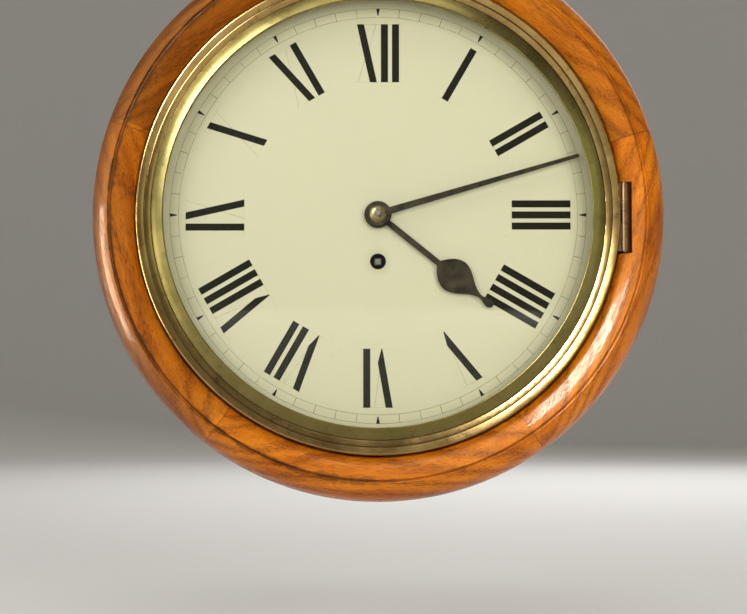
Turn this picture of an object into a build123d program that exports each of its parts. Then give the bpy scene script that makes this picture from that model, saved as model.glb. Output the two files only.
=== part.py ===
from build123d import *
import math
import os

# English round dial wall clock with an eight-day going-barrel movement.
# Millimetres.  X is to the right, Z is up, and the dial faces -Y.
# Everything is laid out about the hands' axis (x = 0, z = 0); depths are measured
# forwards from the wall.  At the end every piece is lowered so that the origin is the
# centre of the hanging hole, on the wall.

# ------------------------------------------------------------------ driving sizes
HANG_HEIGHT = 137.0          # hanging hole above the hands' axis
DIAL_R = 152.4               # 12 inch dial plate
DIAL_FRONT = 118.0
DIAL_THICK = 1.2
DIAL_BACK = DIAL_FRONT - DIAL_THICK

SURROUND_R = 190.5           # 15 inch turned surround
SURROUND_BACK = 95.0
SURROUND_OPENING_R = 146.0
REBATE_R = 159.7
CREST_R = 177.4
CREST_DEPTH = 138.0
FELLOES = 5
FIRST_JOINT = 55.0           # degrees clockwise from three o'clock

BEZEL_R = 158.9
SIGHT_R = 140.8
GLASS_R = 145.8
GLASS_CURVE_R = 882.0
GLASS_THICK = 2.0
LIP_BACK = 135.6

BEZEL_HINGE_X = 161.6
BEZEL_HINGE_DEPTH = 134.5
BEZEL_HINGE_LEVEL = -3.2     # height of the hinge's middle
NOTCH_HALF = 23.5
NOTCH_X = 165.0
NOTCH_MOUTH_X = 166.2        # the notch is wider in front of the hinge leaf

BOX_HALF = 130.0             # half width outside
BOX_TOP = 118.0
BOX_WALL = 12.0
BOX_BOTTOM_R = 164.0
BACK_THICK = 8.0

PLATE_THICK = 2.5
FRONT_PLATE_BACK = 93.5
FRONT_PLATE_FRONT = FRONT_PLATE_BACK + PLATE_THICK
PLATE_GAP = 45.0
BACK_PLATE_FRONT = FRONT_PLATE_BACK - PLATE_GAP
BACK_PLATE_BACK = BACK_PLATE_FRONT - PLATE_THICK
PLATE_HALF = 52.0
PLATE_LOW = -68.0
PLATE_HIGH = 62.0

RUNNING = 0.05               # radial clearance of a pivot in its hole

# Arbor centres in the front view.
BARREL = (0.0, -31.0)
SECOND = (21.63, -8.10)
CENTRE = (0.0, 0.0)
THIRD = (-14.78, 16.29)
ESCAPE = (0.0, 30.0)
PALLET = (0.0, 49.24)
MOTION_ANGLE = 150.0         # direction of the minute-wheel stud
MOTION_DISTANCE = 15.0
MOTION = (
    MOTION_DISTANCE * math.cos(math.radians(MOTION_ANGLE)),
    MOTION_DISTANCE * math.sin(math.radians(MOTION_ANGLE)),
)

PENDULUM_DEPTH = 24.0
BOB_Z = -118.5
BOB_R = 24.0

MINUTE_HAND_ANGLE = 73.65    # degrees clockwise from twelve
HOUR_HAND_ANGLE = 128.8
MINUTE_HAND_LENGTH = 139.0

# The front view plane: its normal points out of the dial.
FRONT_VIEW = Plane.XZ
# The half section through the hands' axis: (radius, depth from the wall).
SECTION = Plane(origin=(0, 0, 0), x_dir=(1, 0, 0), z_dir=(0, 0, -1))

pieces = {}


# ------------------------------------------------------------------ small helpers
def polar(radius, degrees, centre=(0.0, 0.0)):
    turn = math.radians(degrees)
    return (centre[0] + radius * math.cos(turn), centre[1] + radius * math.sin(turn))


def outline(start, *steps):
    """Closed face; a step is a point, or a through point and an end point for an arc."""
    edges = []
    here = start
    for step in steps:
        if isinstance(step[0], tuple):
            through, there = step
            edges.append(ThreePointArc(here, through, there))
        else:
            there = step
            edges.append(Line(here, there))
        here = there
    if here != start:
        edges.append(Line(here, start))
    return make_face(edges)


def turned(face, degrees=360.0):
    """Turn a half section about the hands' axis."""
    return revolve(SECTION * face, axis=Axis.Y, revolution_arc=degrees)


def flat(face, back, front):
    """Thicken a front-view face between two depths."""
    return extrude(FRONT_VIEW.offset(back) * face, amount=front - back)


def bar(centre, radius, back, front):
    """Round bar along the hands' direction."""
    middle = (back + front) / 2
    return Pos(centre[0], -middle, centre[1]) * Rot(90, 0, 0) * Cylinder(radius, front - back)


def block(left, right, back, front, low, high):
    size = Box(right - left, front - back, high - low)
    return Pos((left + right) / 2, -(back + front) / 2, (low + high) / 2) * size


def upright(x, depth, radius, low, high):
    """Round bar standing along Z."""
    return Pos(x, -depth, (low + high) / 2) * Cylinder(radius, high - low)


def crossbar(depth, z, radius, left, right):
    """Round bar lying along X."""
    return Pos((left + right) / 2, -depth, z) * Rot(0, 90, 0) * Cylinder(radius, right - left)


def sector(inner, outer, start, end):
    """Front-view face of a ring segment between two angles."""
    middle = (start + end) / 2
    return outline(
        polar(inner, start),
        polar(outer, start),
        (polar(outer, middle), polar(outer, end)),
        polar(inner, end),
        (polar(inner, middle), polar(inner, start)),
    )


def together(shapes):
    """Several separate solids kept as one piece."""
    solids = []
    for shape in shapes:
        solids.extend(shape.solids())
    return Compound(children=solids)


def heading(first, second):
    """Angle of the line from one arbor centre to another."""
    return math.degrees(math.atan2(second[1] - first[1], second[0] - first[0]))


def gear(centre, teeth, module, tooth, tip, root, tooth_at):
    """Front-view face of a clock wheel: radial flanks and rounded tips.

    One tooth stands at the angle tooth_at; tooth, tip and root are in modules.
    """
    pitch_r = teeth * module / 2
    half = math.degrees(tooth * module / 2 / pitch_r)
    points = []
    for index in range(teeth):
        middle = tooth_at + 360.0 * index / teeth
        points.append(polar(pitch_r - root * module, middle - half, centre))
        for step in range(7):
            around = math.radians(180 - 30 * step)
            height = tip * module * math.sin(around)
            points.append(polar(pitch_r + height, middle + half * math.cos(around), centre))
        points.append(polar(pitch_r - root * module, middle + half, centre))
    return make_face(Polyline(*points, close=True))


def wheel_face(centre, teeth, module, mate):
    """Wheel with a tooth on the line to its mate."""
    return gear(centre, teeth, module, 1.32, 0.92, 1.40, heading(centre, mate))


def pinion_face(centre, leaves, module, mate):
    """Pinion with a gap on the line to its mate."""
    gap_at = heading(centre, mate)
    return gear(centre, leaves, module, 1.05, 0.52, 1.36, gap_at + 180.0 / leaves)


def crossings(centre, hub_r, rim_r, spoke, count):
    """The openings between the spokes of a wheel."""
    openings = Pos(centre[0], centre[1]) * (Circle(rim_r) - Circle(hub_r))
    for index in range(count):
        arm = Pos((hub_r + rim_r) / 2, 0) * Rectangle(rim_r - hub_r + 4, spoke)
        turned_arm = Pos(centre[0], centre[1]) * Rot(0, 0, 45 + 360.0 * index / count) * arm
        openings = openings - turned_arm
    return openings


def behind(u):
    """Depth of a level measured backwards from the front plate's inner face."""
    return FRONT_PLATE_BACK - u


def level(face, near, far):
    """Thicken a face between two levels behind the front plate."""
    return flat(face, behind(far), behind(near))


def rod(centre, radius, near, far):
    """Arbor length between two levels behind the front plate."""
    return bar(centre, radius, behind(far), behind(near))


def screw(shape_at, head_r, shank_r, head, length):
    """Slotted round-head screw pointing along local -Z, its seat at local Z = 0."""
    body = Pos(0, 0, -length / 2) * Cylinder(shank_r, length)
    cap = Pos(0, 0, head / 2) * Cylinder(head_r, head)
    slot = Pos(0, 0, head) * Box(head_r * 3, head_r * 0.25, head * 0.8)
    return shape_at * (body + cap - slot)


def facing_front(x, depth, z):
    """Place a part so that its local Z points out of the dial."""
    return Location((x, -depth, z), (90, 0, 0))


def facing_wall(x, depth, z):
    """Place a part so that its local Z points at the wall."""
    return Location((x, -depth, z), (-90, 0, 0))


# ------------------------------------------------------------------ turned surround
surround_section = outline(
    (SURROUND_OPENING_R, SURROUND_BACK),
    (186.5, SURROUND_BACK),
    ((189.48, 102.75), (SURROUND_R, 111.0)),
    ((190.13, 117.6), (189.0, 122.6)),
    ((185.35, 131.6), (CREST_R, CREST_DEPTH)),
    ((176.6, 136.9), (175.8, 136.9)),
    ((175.3, 137.2), (174.6, 137.9)),
    ((168.0, 135.2), (161.6, 131.3)),
    ((160.4, 130.7), (REBATE_R, 129.6)),
    (REBATE_R, DIAL_BACK),
    (SURROUND_OPENING_R, DIAL_BACK),
)
notch = block(
    REBATE_R - 2.5, NOTCH_X, DIAL_BACK, CREST_DEPTH + 4,
    BEZEL_HINGE_LEVEL - NOTCH_HALF, BEZEL_HINGE_LEVEL + NOTCH_HALF,
)
notch = notch + block(
    NOTCH_X - 1, NOTCH_MOUTH_X, 130.8, CREST_DEPTH + 4,
    BEZEL_HINGE_LEVEL - NOTCH_HALF, BEZEL_HINGE_LEVEL + NOTCH_HALF,
)
GLUE_LINE = 0.02             # degrees
felloe = turned(surround_section, 360.0 / FELLOES - GLUE_LINE)
felloes = []
for index in range(FELLOES):
    placed = Rot(0, FIRST_JOINT + 360.0 * index / FELLOES, 0) * felloe
    felloes.append(placed - notch)

hinge_screw_levels = [BEZEL_HINGE_LEVEL + 13.0, BEZEL_HINGE_LEVEL - 13.0]
DIAL_SCREW_R = 149.3
dial_screw_spots = [polar(DIAL_SCREW_R, 22.5 + 90 * index) for index in range(4)]
for index in range(FELLOES):
    for spot in dial_screw_spots:
        felloes[index] = felloes[index] - bar(spot, 1.3, DIAL_BACK - 9, DIAL_BACK + 1)
    for level_of_screw in hinge_screw_levels:
        felloes[index] = felloes[index] - crossbar(
            122.5, level_of_screw, 1.1, NOTCH_X - 1, NOTCH_X + 8
        )
pieces["surround_felloes"] = together(felloes)

# Four blocks glued behind the surround straddle the box, each pegged to a side board.
BATTEN_Z = 89.0
PEG_DEPTH = 74.0
batten = block(BOX_HALF, BOX_HALF + 16, 60, SURROUND_BACK, BATTEN_Z - 9, BATTEN_Z + 9)
batten = batten - crossbar(PEG_DEPTH, BATTEN_Z, 4.0, BOX_HALF - 1, BOX_HALF + 17)
peg = crossbar(PEG_DEPTH, BATTEN_Z, 4.0, BOX_HALF - BOX_WALL - 2, BOX_HALF + 20)
peg = peg + crossbar(PEG_DEPTH, BATTEN_Z, 5.5, BOX_HALF + 20, BOX_HALF + 24)
battens = []
pegs = []
for drop_to in (0.0, -2 * BATTEN_Z):
    for half_turn in (0, 180):
        place = Rot(0, 0, half_turn) * Pos(0, 0, drop_to)
        if half_turn == 180:
            place = Pos(0, -2 * PEG_DEPTH, 0) * place
        pegs.append(place * peg)
    right_batten = Pos(0, 0, drop_to) * batten
    battens.append(right_batten)
    battens.append(mirror(right_batten, Plane.YZ))
pieces["surround_battens"] = together(battens)
pieces["case_pegs"] = together(pegs)

# ------------------------------------------------------------------ box
corner_angle = math.degrees(math.acos(BOX_HALF / BOX_BOTTOM_R))
corner_z = -BOX_BOTTOM_R * math.sin(math.radians(corner_angle))
inner_x = BOX_HALF - BOX_WALL
inner_corner_z = -inner_x * math.tan(math.radians(corner_angle))
BOX_INNER_R = BOX_BOTTOM_R - BOX_WALL

side_face = outline(
    (inner_x, BOX_TOP),
    (BOX_HALF, BOX_TOP),
    (BOX_HALF, corner_z),
    (inner_x, inner_corner_z),
)
box_side = flat(side_face, BACK_THICK, SURROUND_BACK)
for sign in (1, -1):
    hole = crossbar(PEG_DEPTH, sign * BATTEN_Z, 4.0, inner_x - 1, BOX_HALF + 1)
    box_side = box_side - hole

SIDE_DOOR_LOW = -50.0
SIDE_DOOR_HIGH = 55.0
SIDE_DOOR_BACK = 18.0
SIDE_DOOR_FRONT = 84.0
side_window = block(
    inner_x - 1, BOX_HALF + 1, SIDE_DOOR_BACK, SIDE_DOOR_FRONT, SIDE_DOOR_LOW, SIDE_DOOR_HIGH
)
pieces["box_left_side"] = mirror(box_side, Plane.YZ)
pieces["box_right_side"] = box_side - side_window
pieces["box_top"] = block(
    -inner_x, inner_x, BACK_THICK, SURROUND_BACK, BOX_TOP - BOX_WALL, BOX_TOP
)

BOTTOM_DOOR_HALF = 18.0
BOTTOM_DOOR_BACK = 12.0
BOTTOM_DOOR_FRONT = 90.0
bottom = flat(
    sector(BOX_INNER_R, BOX_BOTTOM_R, -180 + corner_angle, -corner_angle),
    BACK_THICK,
    SURROUND_BACK,
)
bottom_window = flat(
    sector(BOX_INNER_R - 4, BOX_BOTTOM_R + 4, -90 - BOTTOM_DOOR_HALF, -90 + BOTTOM_DOOR_HALF),
    BOTTOM_DOOR_BACK,
    BOTTOM_DOOR_FRONT,
)
pieces["box_bottom"] = bottom - bottom_window

back_face = outline(
    (-BOX_HALF, BOX_TOP),
    (BOX_HALF, BOX_TOP),
    (BOX_HALF, corner_z),
    ((0.0, -BOX_BOTTOM_R), (-BOX_HALF, corner_z)),
)
back_board = flat(back_face, 0, BACK_THICK)

# ------------------------------------------------------------------ hanging plate
HANG_THICK = 2.5
HANG_HALF = 25.0
HANG_LOW = 80.0
HANG_HIGH = 150.0
HANG_HOLE_R = 4.5
hang_face = outline(
    (-HANG_HALF, HANG_LOW),
    (HANG_HALF, HANG_LOW),
    (HANG_HALF, HANG_HIGH - 14),
    ((HANG_HALF * 0.72, HANG_HIGH - 4), (HANG_HALF * 0.4, HANG_HIGH)),
    (-HANG_HALF * 0.4, HANG_HIGH),
    ((-HANG_HALF * 0.72, HANG_HIGH - 4), (-HANG_HALF, HANG_HIGH - 14)),
)
hang_blank = flat(hang_face, 0, HANG_THICK)
hanging_plate = hang_blank - bar((0, HANG_HEIGHT), HANG_HOLE_R, -1, HANG_THICK + 1)
hang_screws = [(-16.0, 88.0), (16.0, 88.0), (0.0, 108.0)]
screws_in_wood = []
for spot in hang_screws:
    hanging_plate = hanging_plate - bar(spot, 1.8, -1, HANG_THICK + 1)
    hanging_plate = hanging_plate - bar(spot, 3.4, -1, 1.5)
    back_board = back_board - bar(spot, 1.5, HANG_THICK - 1, 7.0)
    shank = bar(spot, 1.5, 1.5, 7.0)
    cap = bar(spot, 3.3, 0.3, 1.5) - block(
        spot[0] - 4, spot[0] + 4, -1, 0.9, spot[1] - 0.4, spot[1] + 0.4
    )
    screws_in_wood.append(shank + cap)
pieces["back_board"] = back_board - hang_blank
pieces["hanging_plate"] = hanging_plate

# ------------------------------------------------------------------ side door
HINGE_KNUCKLE_R = 1.9
HINGE_PIN_R = 1.0
LEAF_THICK = 1.2
SIDE_HINGE_X = BOX_HALF + HINGE_KNUCKLE_R
SIDE_HINGE_DEPTH = SIDE_DOOR_BACK
GAP = 0.5

door_plan = make_face(
    Polyline(
        (inner_x + 0.4, -(SIDE_DOOR_BACK + GAP)),
        (BOX_HALF, -(SIDE_DOOR_BACK + GAP)),
        (BOX_HALF, -(SIDE_DOOR_FRONT - GAP)),
        (inner_x + 0.4, -(SIDE_DOOR_FRONT - GAP - 3.0)),
        close=True,
    )
)
door_height = SIDE_DOOR_HIGH - SIDE_DOOR_LOW - 2 * GAP
side_door = extrude(Pos(0, 0, SIDE_DOOR_LOW + GAP) * door_plan, amount=door_height)
SIDE_CATCH_DEPTH = 74.0
SIDE_CATCH_Z = 2.5
side_door = side_door - crossbar(SIDE_CATCH_DEPTH, SIDE_CATCH_Z, 2.05, inner_x - 2, BOX_HALF + 2)
pieces["side_door"] = side_door

case_leaves = []
side_leaves = []
for hinge_z in (SIDE_DOOR_LOW + 22, SIDE_DOOR_HIGH - 22):
    leaf = block(BOX_HALF, BOX_HALF + LEAF_THICK, 6, SIDE_HINGE_DEPTH, hinge_z - 12, hinge_z + 12)
    leaf = leaf + upright(
        SIDE_HINGE_X, SIDE_HINGE_DEPTH, HINGE_KNUCKLE_R, hinge_z - 12, hinge_z + 12
    )
    leaf = leaf - block(
        BOX_HALF - 1, BOX_HALF + 6, SIDE_HINGE_DEPTH - 3, SIDE_HINGE_DEPTH + 4,
        hinge_z - 4, hinge_z + 4,
    )
    leaf = leaf + upright(
        SIDE_HINGE_X, SIDE_HINGE_DEPTH, HINGE_PIN_R, hinge_z - 12.6, hinge_z + 12.6
    )
    moving = block(
        BOX_HALF, BOX_HALF + LEAF_THICK,
        SIDE_HINGE_DEPTH + 0.6, SIDE_HINGE_DEPTH + 12, hinge_z - 12, hinge_z + 12,
    )
    moving = moving + block(
        BOX_HALF, BOX_HALF + LEAF_THICK,
        SIDE_HINGE_DEPTH, SIDE_HINGE_DEPTH + 2, hinge_z - 3.8, hinge_z + 3.8,
    )
    moving = moving - upright(
        SIDE_HINGE_X, SIDE_HINGE_DEPTH, HINGE_KNUCKLE_R + 0.25, hinge_z - 13, hinge_z + 13
    )
    moving = moving + upright(
        SIDE_HINGE_X, SIDE_HINGE_DEPTH, HINGE_KNUCKLE_R, hinge_z - 3.8, hinge_z + 3.8
    )
    tongue = block(
        BOX_HALF, BOX_HALF + LEAF_THICK,
        SIDE_HINGE_DEPTH + 0.6, SIDE_HINGE_DEPTH + 3, hinge_z - 3.8, hinge_z + 3.8,
    )
    moving = moving + tongue
    moving = moving - upright(
        SIDE_HINGE_X, SIDE_HINGE_DEPTH, HINGE_PIN_R + RUNNING, hinge_z - 13, hinge_z + 13
    )
    for offset in (-7.5, 7.5):
        leaf = leaf + crossbar(
            10.5, hinge_z + offset, 2.2, BOX_HALF + LEAF_THICK, BOX_HALF + LEAF_THICK + 0.6
        )
        moving = moving + crossbar(
            SIDE_HINGE_DEPTH + 7.5, hinge_z + offset, 2.2,
            BOX_HALF + LEAF_THICK, BOX_HALF + LEAF_THICK + 0.6,
        )
    case_leaves.append(leaf)
    side_leaves.append(moving)
pieces["side_door_hinge_leaf"] = together(side_leaves)


def turn_catch(spindle_length, blade_back):
    """Turn catch: knob on +Z, spindle through the door, blade on the -Z side along +X."""
    knob = Pos(0, 0, 1.0) * Cylinder(5.5, 2.0)
    knob = knob + Pos(0, 0, 5.0) * Box(12.0, 3.0, 7.0)
    spindle = Pos(0, 0, -spindle_length / 2) * Cylinder(2.0, spindle_length)
    blade = Pos(6.5, 0, -blade_back - 0.8) * Box(18.0, 5.0, 1.6)
    return knob + spindle + blade


side_catch = turn_catch(BOX_WALL + 2.4, BOX_WALL + 0.3)
# Knob outwards (+X); at rest the blade stands up along +Z, clear of the case.
side_catch_place = Location(Plane(
    origin=(BOX_HALF, -SIDE_CATCH_DEPTH, SIDE_CATCH_Z), x_dir=(0, 0, 1), z_dir=(1, 0, 0)
))
pieces["side_door_turn_catch"] = side_catch_place * side_catch

# ------------------------------------------------------------------ bottom door
bottom_door = flat(
    sector(BOX_INNER_R, BOX_BOTTOM_R, -90 - BOTTOM_DOOR_HALF + 0.3, -90 + BOTTOM_DOOR_HALF - 0.3),
    BOTTOM_DOOR_BACK + GAP,
    BOTTOM_DOOR_FRONT - GAP,
)
BOTTOM_CATCH_ANGLE = -77.0
BOTTOM_CATCH_DEPTH = 51.0
catch_x, catch_z = polar(BOX_BOTTOM_R, BOTTOM_CATCH_ANGLE)
outward = (
    math.cos(math.radians(BOTTOM_CATCH_ANGLE)), 0.0, math.sin(math.radians(BOTTOM_CATCH_ANGLE))
)
# At rest the blade points forwards, alongside the edge of the door.
bottom_catch_place = Location(Plane(
    origin=(catch_x, -BOTTOM_CATCH_DEPTH, catch_z), x_dir=(0, -1, 0), z_dir=outward
))
catch_hole = bottom_catch_place * (Pos(0, 0, -10) * Cylinder(2.05, 30))
pieces["bottom_door"] = bottom_door - catch_hole
catch_blade = BOX_WALL + 1.4
pieces["bottom_door_turn_catch"] = bottom_catch_place * turn_catch(catch_blade + 1.6, catch_blade)

BOTTOM_HINGE = polar(BOX_BOTTOM_R + HINGE_KNUCKLE_R, -90 - BOTTOM_DOOR_HALF)
bottom_leaves = []
for hinge_depth in (31.0, 71.0):
    back = hinge_depth - 12
    front = hinge_depth + 12
    leaf_face = sector(
        BOX_BOTTOM_R, BOX_BOTTOM_R + LEAF_THICK,
        -90 - BOTTOM_DOOR_HALF - 4.4, -90 - BOTTOM_DOOR_HALF,
    )
    leaf = flat(leaf_face, back, front) + bar(BOTTOM_HINGE, HINGE_KNUCKLE_R, back, front)
    slot = bar(BOTTOM_HINGE, HINGE_KNUCKLE_R + 1.2, hinge_depth - 4, hinge_depth + 4)
    leaf = leaf - slot + bar(BOTTOM_HINGE, HINGE_PIN_R, back - 0.6, front + 0.6)
    moving_face = sector(
        BOX_BOTTOM_R, BOX_BOTTOM_R + LEAF_THICK,
        -90 - BOTTOM_DOOR_HALF + 0.35, -90 - BOTTOM_DOOR_HALF + 4.4,
    )
    moving = flat(moving_face, back, front)
    moving = moving - bar(BOTTOM_HINGE, HINGE_KNUCKLE_R + 0.25, back - 1, front + 1)
    moving = moving + flat(moving_face, hinge_depth - 3.8, hinge_depth + 3.8)
    moving = moving + bar(
        BOTTOM_HINGE, HINGE_KNUCKLE_R, hinge_depth - 3.8, hinge_depth + 3.8
    )
    moving = moving - bar(BOTTOM_HINGE, HINGE_PIN_R + RUNNING, back - 1, front + 1)
    case_leaves.append(leaf)
    bottom_leaves.append(moving)
pieces["door_hinge_case_leaves"] = together(case_leaves)
pieces["bottom_door_hinge_leaf"] = together(bottom_leaves)

# ------------------------------------------------------------------ dial
WINDING_HOLE_R = 5.3
DIAL_CENTRE_HOLE_R = 5.5
dial_feet_spots = [(-34.0, 46.0), (34.0, 46.0), (-36.0, -50.0), (36.0, -50.0)]
dial = bar(CENTRE, DIAL_R, DIAL_BACK, DIAL_FRONT)
dial = dial - bar(CENTRE, DIAL_CENTRE_HOLE_R, DIAL_BACK - 1, DIAL_FRONT + 1)
dial = dial - bar(BARREL, WINDING_HOLE_R, DIAL_BACK - 1, DIAL_FRONT + 1)
for spot in dial_screw_spots:
    dial = dial - bar(spot, 1.3, DIAL_BACK - 1, DIAL_FRONT + 1)
    dial_screw = screw(facing_front(spot[0], DIAL_FRONT, spot[1]), 2.6, 1.3, 1.6, 10.0)
    screws_in_wood.append(dial_screw)
pieces["dial_plate"] = dial

feet = []
pins = []
for spot in dial_feet_spots:
    foot = bar(spot, 2.5, FRONT_PLATE_FRONT, DIAL_BACK)
    foot = foot + bar(spot, 2.0, FRONT_PLATE_BACK - 3.6, FRONT_PLATE_FRONT)
    pin_depth = FRONT_PLATE_BACK - 1.4
    foot = foot - crossbar(pin_depth, spot[1], 0.7, spot[0] - 4, spot[0] + 4)
    feet.append(foot)
    pins.append(crossbar(pin_depth, spot[1], 0.7, spot[0] - 5, spot[0] + 7))
pieces["dial_feet"] = together(feet)

# ------------------------------------------------------------------ bezel and glass
bezel_section = outline(
    (BEZEL_R, 118.6),
    (BEZEL_R, 136.4),
    ((158.4607, 137.4607), (157.4, 137.9)),
    ((155.6, 137.3), (153.7, 136.5)),
    (153.4, 136.1),
    (153.0, 136.2),
    ((151.3, 135.7), (149.5, 134.9)),
    ((149.1, 134.8), (148.7, 135.1)),
    ((145.0, 137.1), (141.6, 138.4)),
    ((141.0, 138.3), (SIGHT_R, 137.7)),
    (SIGHT_R, LIP_BACK),
    (GLASS_R + 0.5, LIP_BACK),
    (GLASS_R + 0.5, 126.0),
    (GLASS_R + 2.4, 126.0),
    (GLASS_R + 2.4, 131.6),
    (BEZEL_R - 2.0, 131.6),
    (BEZEL_R - 2.0, 118.6),
)
pieces["bezel_ring"] = turned(bezel_section)


# The glass touches the back of the lip at the sight edge.
curve_centre = LIP_BACK - math.sqrt(GLASS_CURVE_R ** 2 - SIGHT_R ** 2)


def glass_depth(curve_r, radius):
    return curve_centre + math.sqrt(curve_r ** 2 - radius ** 2)


inner_curve_r = GLASS_CURVE_R - GLASS_THICK
glass_section = outline(
    (0.0, glass_depth(inner_curve_r, 0.0)),
    (0.0, glass_depth(GLASS_CURVE_R, 0.0)),
    (
        (GLASS_R / 2, glass_depth(GLASS_CURVE_R, GLASS_R / 2)),
        (GLASS_R, glass_depth(GLASS_CURVE_R, GLASS_R)),
    ),
    (GLASS_R, glass_depth(inner_curve_r, GLASS_R)),
    (
        (GLASS_R / 2, glass_depth(inner_curve_r, GLASS_R / 2)),
        (0.0, glass_depth(inner_curve_r, 0.0)),
    ),
)
pieces["glass"] = turned(glass_section)
ring_front = glass_depth(inner_curve_r, GLASS_R)
ring_section = outline(
    (SIGHT_R + 0.8, ring_front - 2.6),
    (GLASS_R + 0.5, ring_front - 2.6),
    (GLASS_R + 0.5, ring_front),
    (GLASS_R - 0.6, ring_front),
    (SIGHT_R + 0.8, ring_front - 1.0),
)
pieces["glass_retaining_ring"] = turned(ring_section)

# Bezel hinge: five knuckles on an upright pin in the notch.
KNUCKLE_LINES = [-22.5, -13.1, -4.0, 4.0, 13.1, 22.5]    # where one knuckle meets the next
knuckle_spans = []
for lower_line, upper_line in zip(KNUCKLE_LINES, KNUCKLE_LINES[1:]):
    knuckle_spans.append(
        (BEZEL_HINGE_LEVEL + lower_line + 0.1, BEZEL_HINGE_LEVEL + upper_line - 0.1)
    )
knuckle_spans_case = knuckle_spans[0::2]
knuckle_spans_bezel = knuckle_spans[1::2]
hinge_low = knuckle_spans[0][0]
hinge_high = knuckle_spans[-1][1]
BEZEL_KNUCKLE_R = 2.4
case_leaf = block(NOTCH_X - 1.5, NOTCH_X, 119.0, 130.6, hinge_low, hinge_high)
for low, high in knuckle_spans_case:
    case_leaf = case_leaf + block(BEZEL_HINGE_X, NOTCH_X - 1.0, 129.4, 132.6, low, high)
    case_leaf = case_leaf + upright(
        BEZEL_HINGE_X, BEZEL_HINGE_DEPTH, BEZEL_KNUCKLE_R, low, high
    )
case_leaf = case_leaf - upright(
    BEZEL_HINGE_X, BEZEL_HINGE_DEPTH, HINGE_PIN_R, hinge_low - 1, hinge_high + 1
)
for low, high in knuckle_spans_bezel:
    case_leaf = case_leaf - upright(
        BEZEL_HINGE_X, BEZEL_HINGE_DEPTH, BEZEL_KNUCKLE_R + 0.3, low - 0.1, high + 0.1
    )
for level_of_screw in hinge_screw_levels:
    case_leaf = case_leaf - crossbar(122.5, level_of_screw, 1.1, NOTCH_X - 3, NOTCH_X + 1)
    leaf_screw_at = Location(Plane(
        origin=(NOTCH_X - 1.5, -122.5, level_of_screw), x_dir=(0, 0, 1), z_dir=(-1, 0, 0)
    ))
    screws_in_wood.append(screw(leaf_screw_at, 2.0, 1.1, 0.8, 9.0))
pieces["case_hinge_leaf"] = case_leaf

# The bezel's leaf is soldered to its rim, with a lip that fills the notch up to the knuckles.
inner_low = knuckle_spans_bezel[0][0]
inner_high = knuckle_spans_bezel[-1][1]
bezel_leaf = block(156.0, 160.4, 121.0, 132.0, inner_low, inner_high)
bezel_leaf = bezel_leaf + block(154.5, 159.1, 129.5, 136.0, hinge_low, hinge_high)
for low, high in knuckle_spans_bezel:
    bezel_leaf = bezel_leaf + block(156.5, BEZEL_HINGE_X, 131.0, 135.6, low, high)
    bezel_leaf = bezel_leaf + upright(
        BEZEL_HINGE_X, BEZEL_HINGE_DEPTH, BEZEL_KNUCKLE_R, low, high
    )
bezel_leaf = bezel_leaf - bar(CENTRE, BEZEL_R, 110, 150)
bezel_leaf = bezel_leaf - upright(
    BEZEL_HINGE_X, BEZEL_HINGE_DEPTH, HINGE_PIN_R + RUNNING, hinge_low - 1, hinge_high + 1
)
for low, high in knuckle_spans_case:
    bezel_leaf = bezel_leaf - upright(
        BEZEL_HINGE_X, BEZEL_HINGE_DEPTH, BEZEL_KNUCKLE_R + 0.3, low - 0.1, high + 0.1
    )
pieces["bezel_hinge_leaf"] = bezel_leaf
pieces["bezel_hinge_pin"] = upright(
    BEZEL_HINGE_X, BEZEL_HINGE_DEPTH, HINGE_PIN_R, hinge_low - 0.6, hinge_high + 0.6
)

# Spring clip on the ledge at nine o'clock; the bezel's skirt snaps over it.
catch = block(-158.6, -153.2, DIAL_BACK, DIAL_BACK + 1.0, -7, 7)
catch = catch + block(-156.0, -155.2, DIAL_BACK, 127.5, -5, 5)
catch = catch + Pos(-155.9, -124.0, 0) * Cylinder(0.75, 8.0)
pieces["bezel_catch"] = catch
pieces["wood_screws"] = together(screws_in_wood)

# ------------------------------------------------------------------ movement frame
pillar_spots = [(-44.0, -60.0), (44.0, -60.0), (-44.0, 54.0), (44.0, 54.0)]
plate_outline = outline(
    (-PLATE_HALF, PLATE_LOW),
    (PLATE_HALF, PLATE_LOW),
    (PLATE_HALF, PLATE_HIGH - 8),
    ((PLATE_HALF - 2.4, PLATE_HIGH - 2.4), (PLATE_HALF - 8, PLATE_HIGH)),
    (-PLATE_HALF + 8, PLATE_HIGH),
    ((-PLATE_HALF + 2.4, PLATE_HIGH - 2.4), (-PLATE_HALF, PLATE_HIGH - 8)),
)
front_plate = flat(plate_outline, FRONT_PLATE_BACK, FRONT_PLATE_FRONT)
back_plate = flat(plate_outline, BACK_PLATE_BACK, BACK_PLATE_FRONT)


def drill_front(plate, centre, radius):
    return plate - bar(centre, radius, FRONT_PLATE_BACK - 1, FRONT_PLATE_FRONT + 1)


def drill_back(plate, centre, radius):
    return plate - bar(centre, radius, BACK_PLATE_BACK - 1, BACK_PLATE_FRONT + 1)


SQUARE = 5.0
BARREL_FRONT_PIVOT_R = 3.6
BARREL_BACK_PIVOT_R = 2.5
SECOND_PIVOT_R = 1.2
CENTRE_PIVOT_R = 1.6
THIRD_PIVOT_R = 0.9
ESCAPE_PIVOT_R = 0.8
PALLET_PIVOT_R = 0.8
CLICK_CENTRE = (14.0, -31.2)
CLICK_SPRING_SCREW = (17.0, -52.0)
COCK_SCREWS = [(-24.0, 50.5), (24.0, 50.5)]

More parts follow.
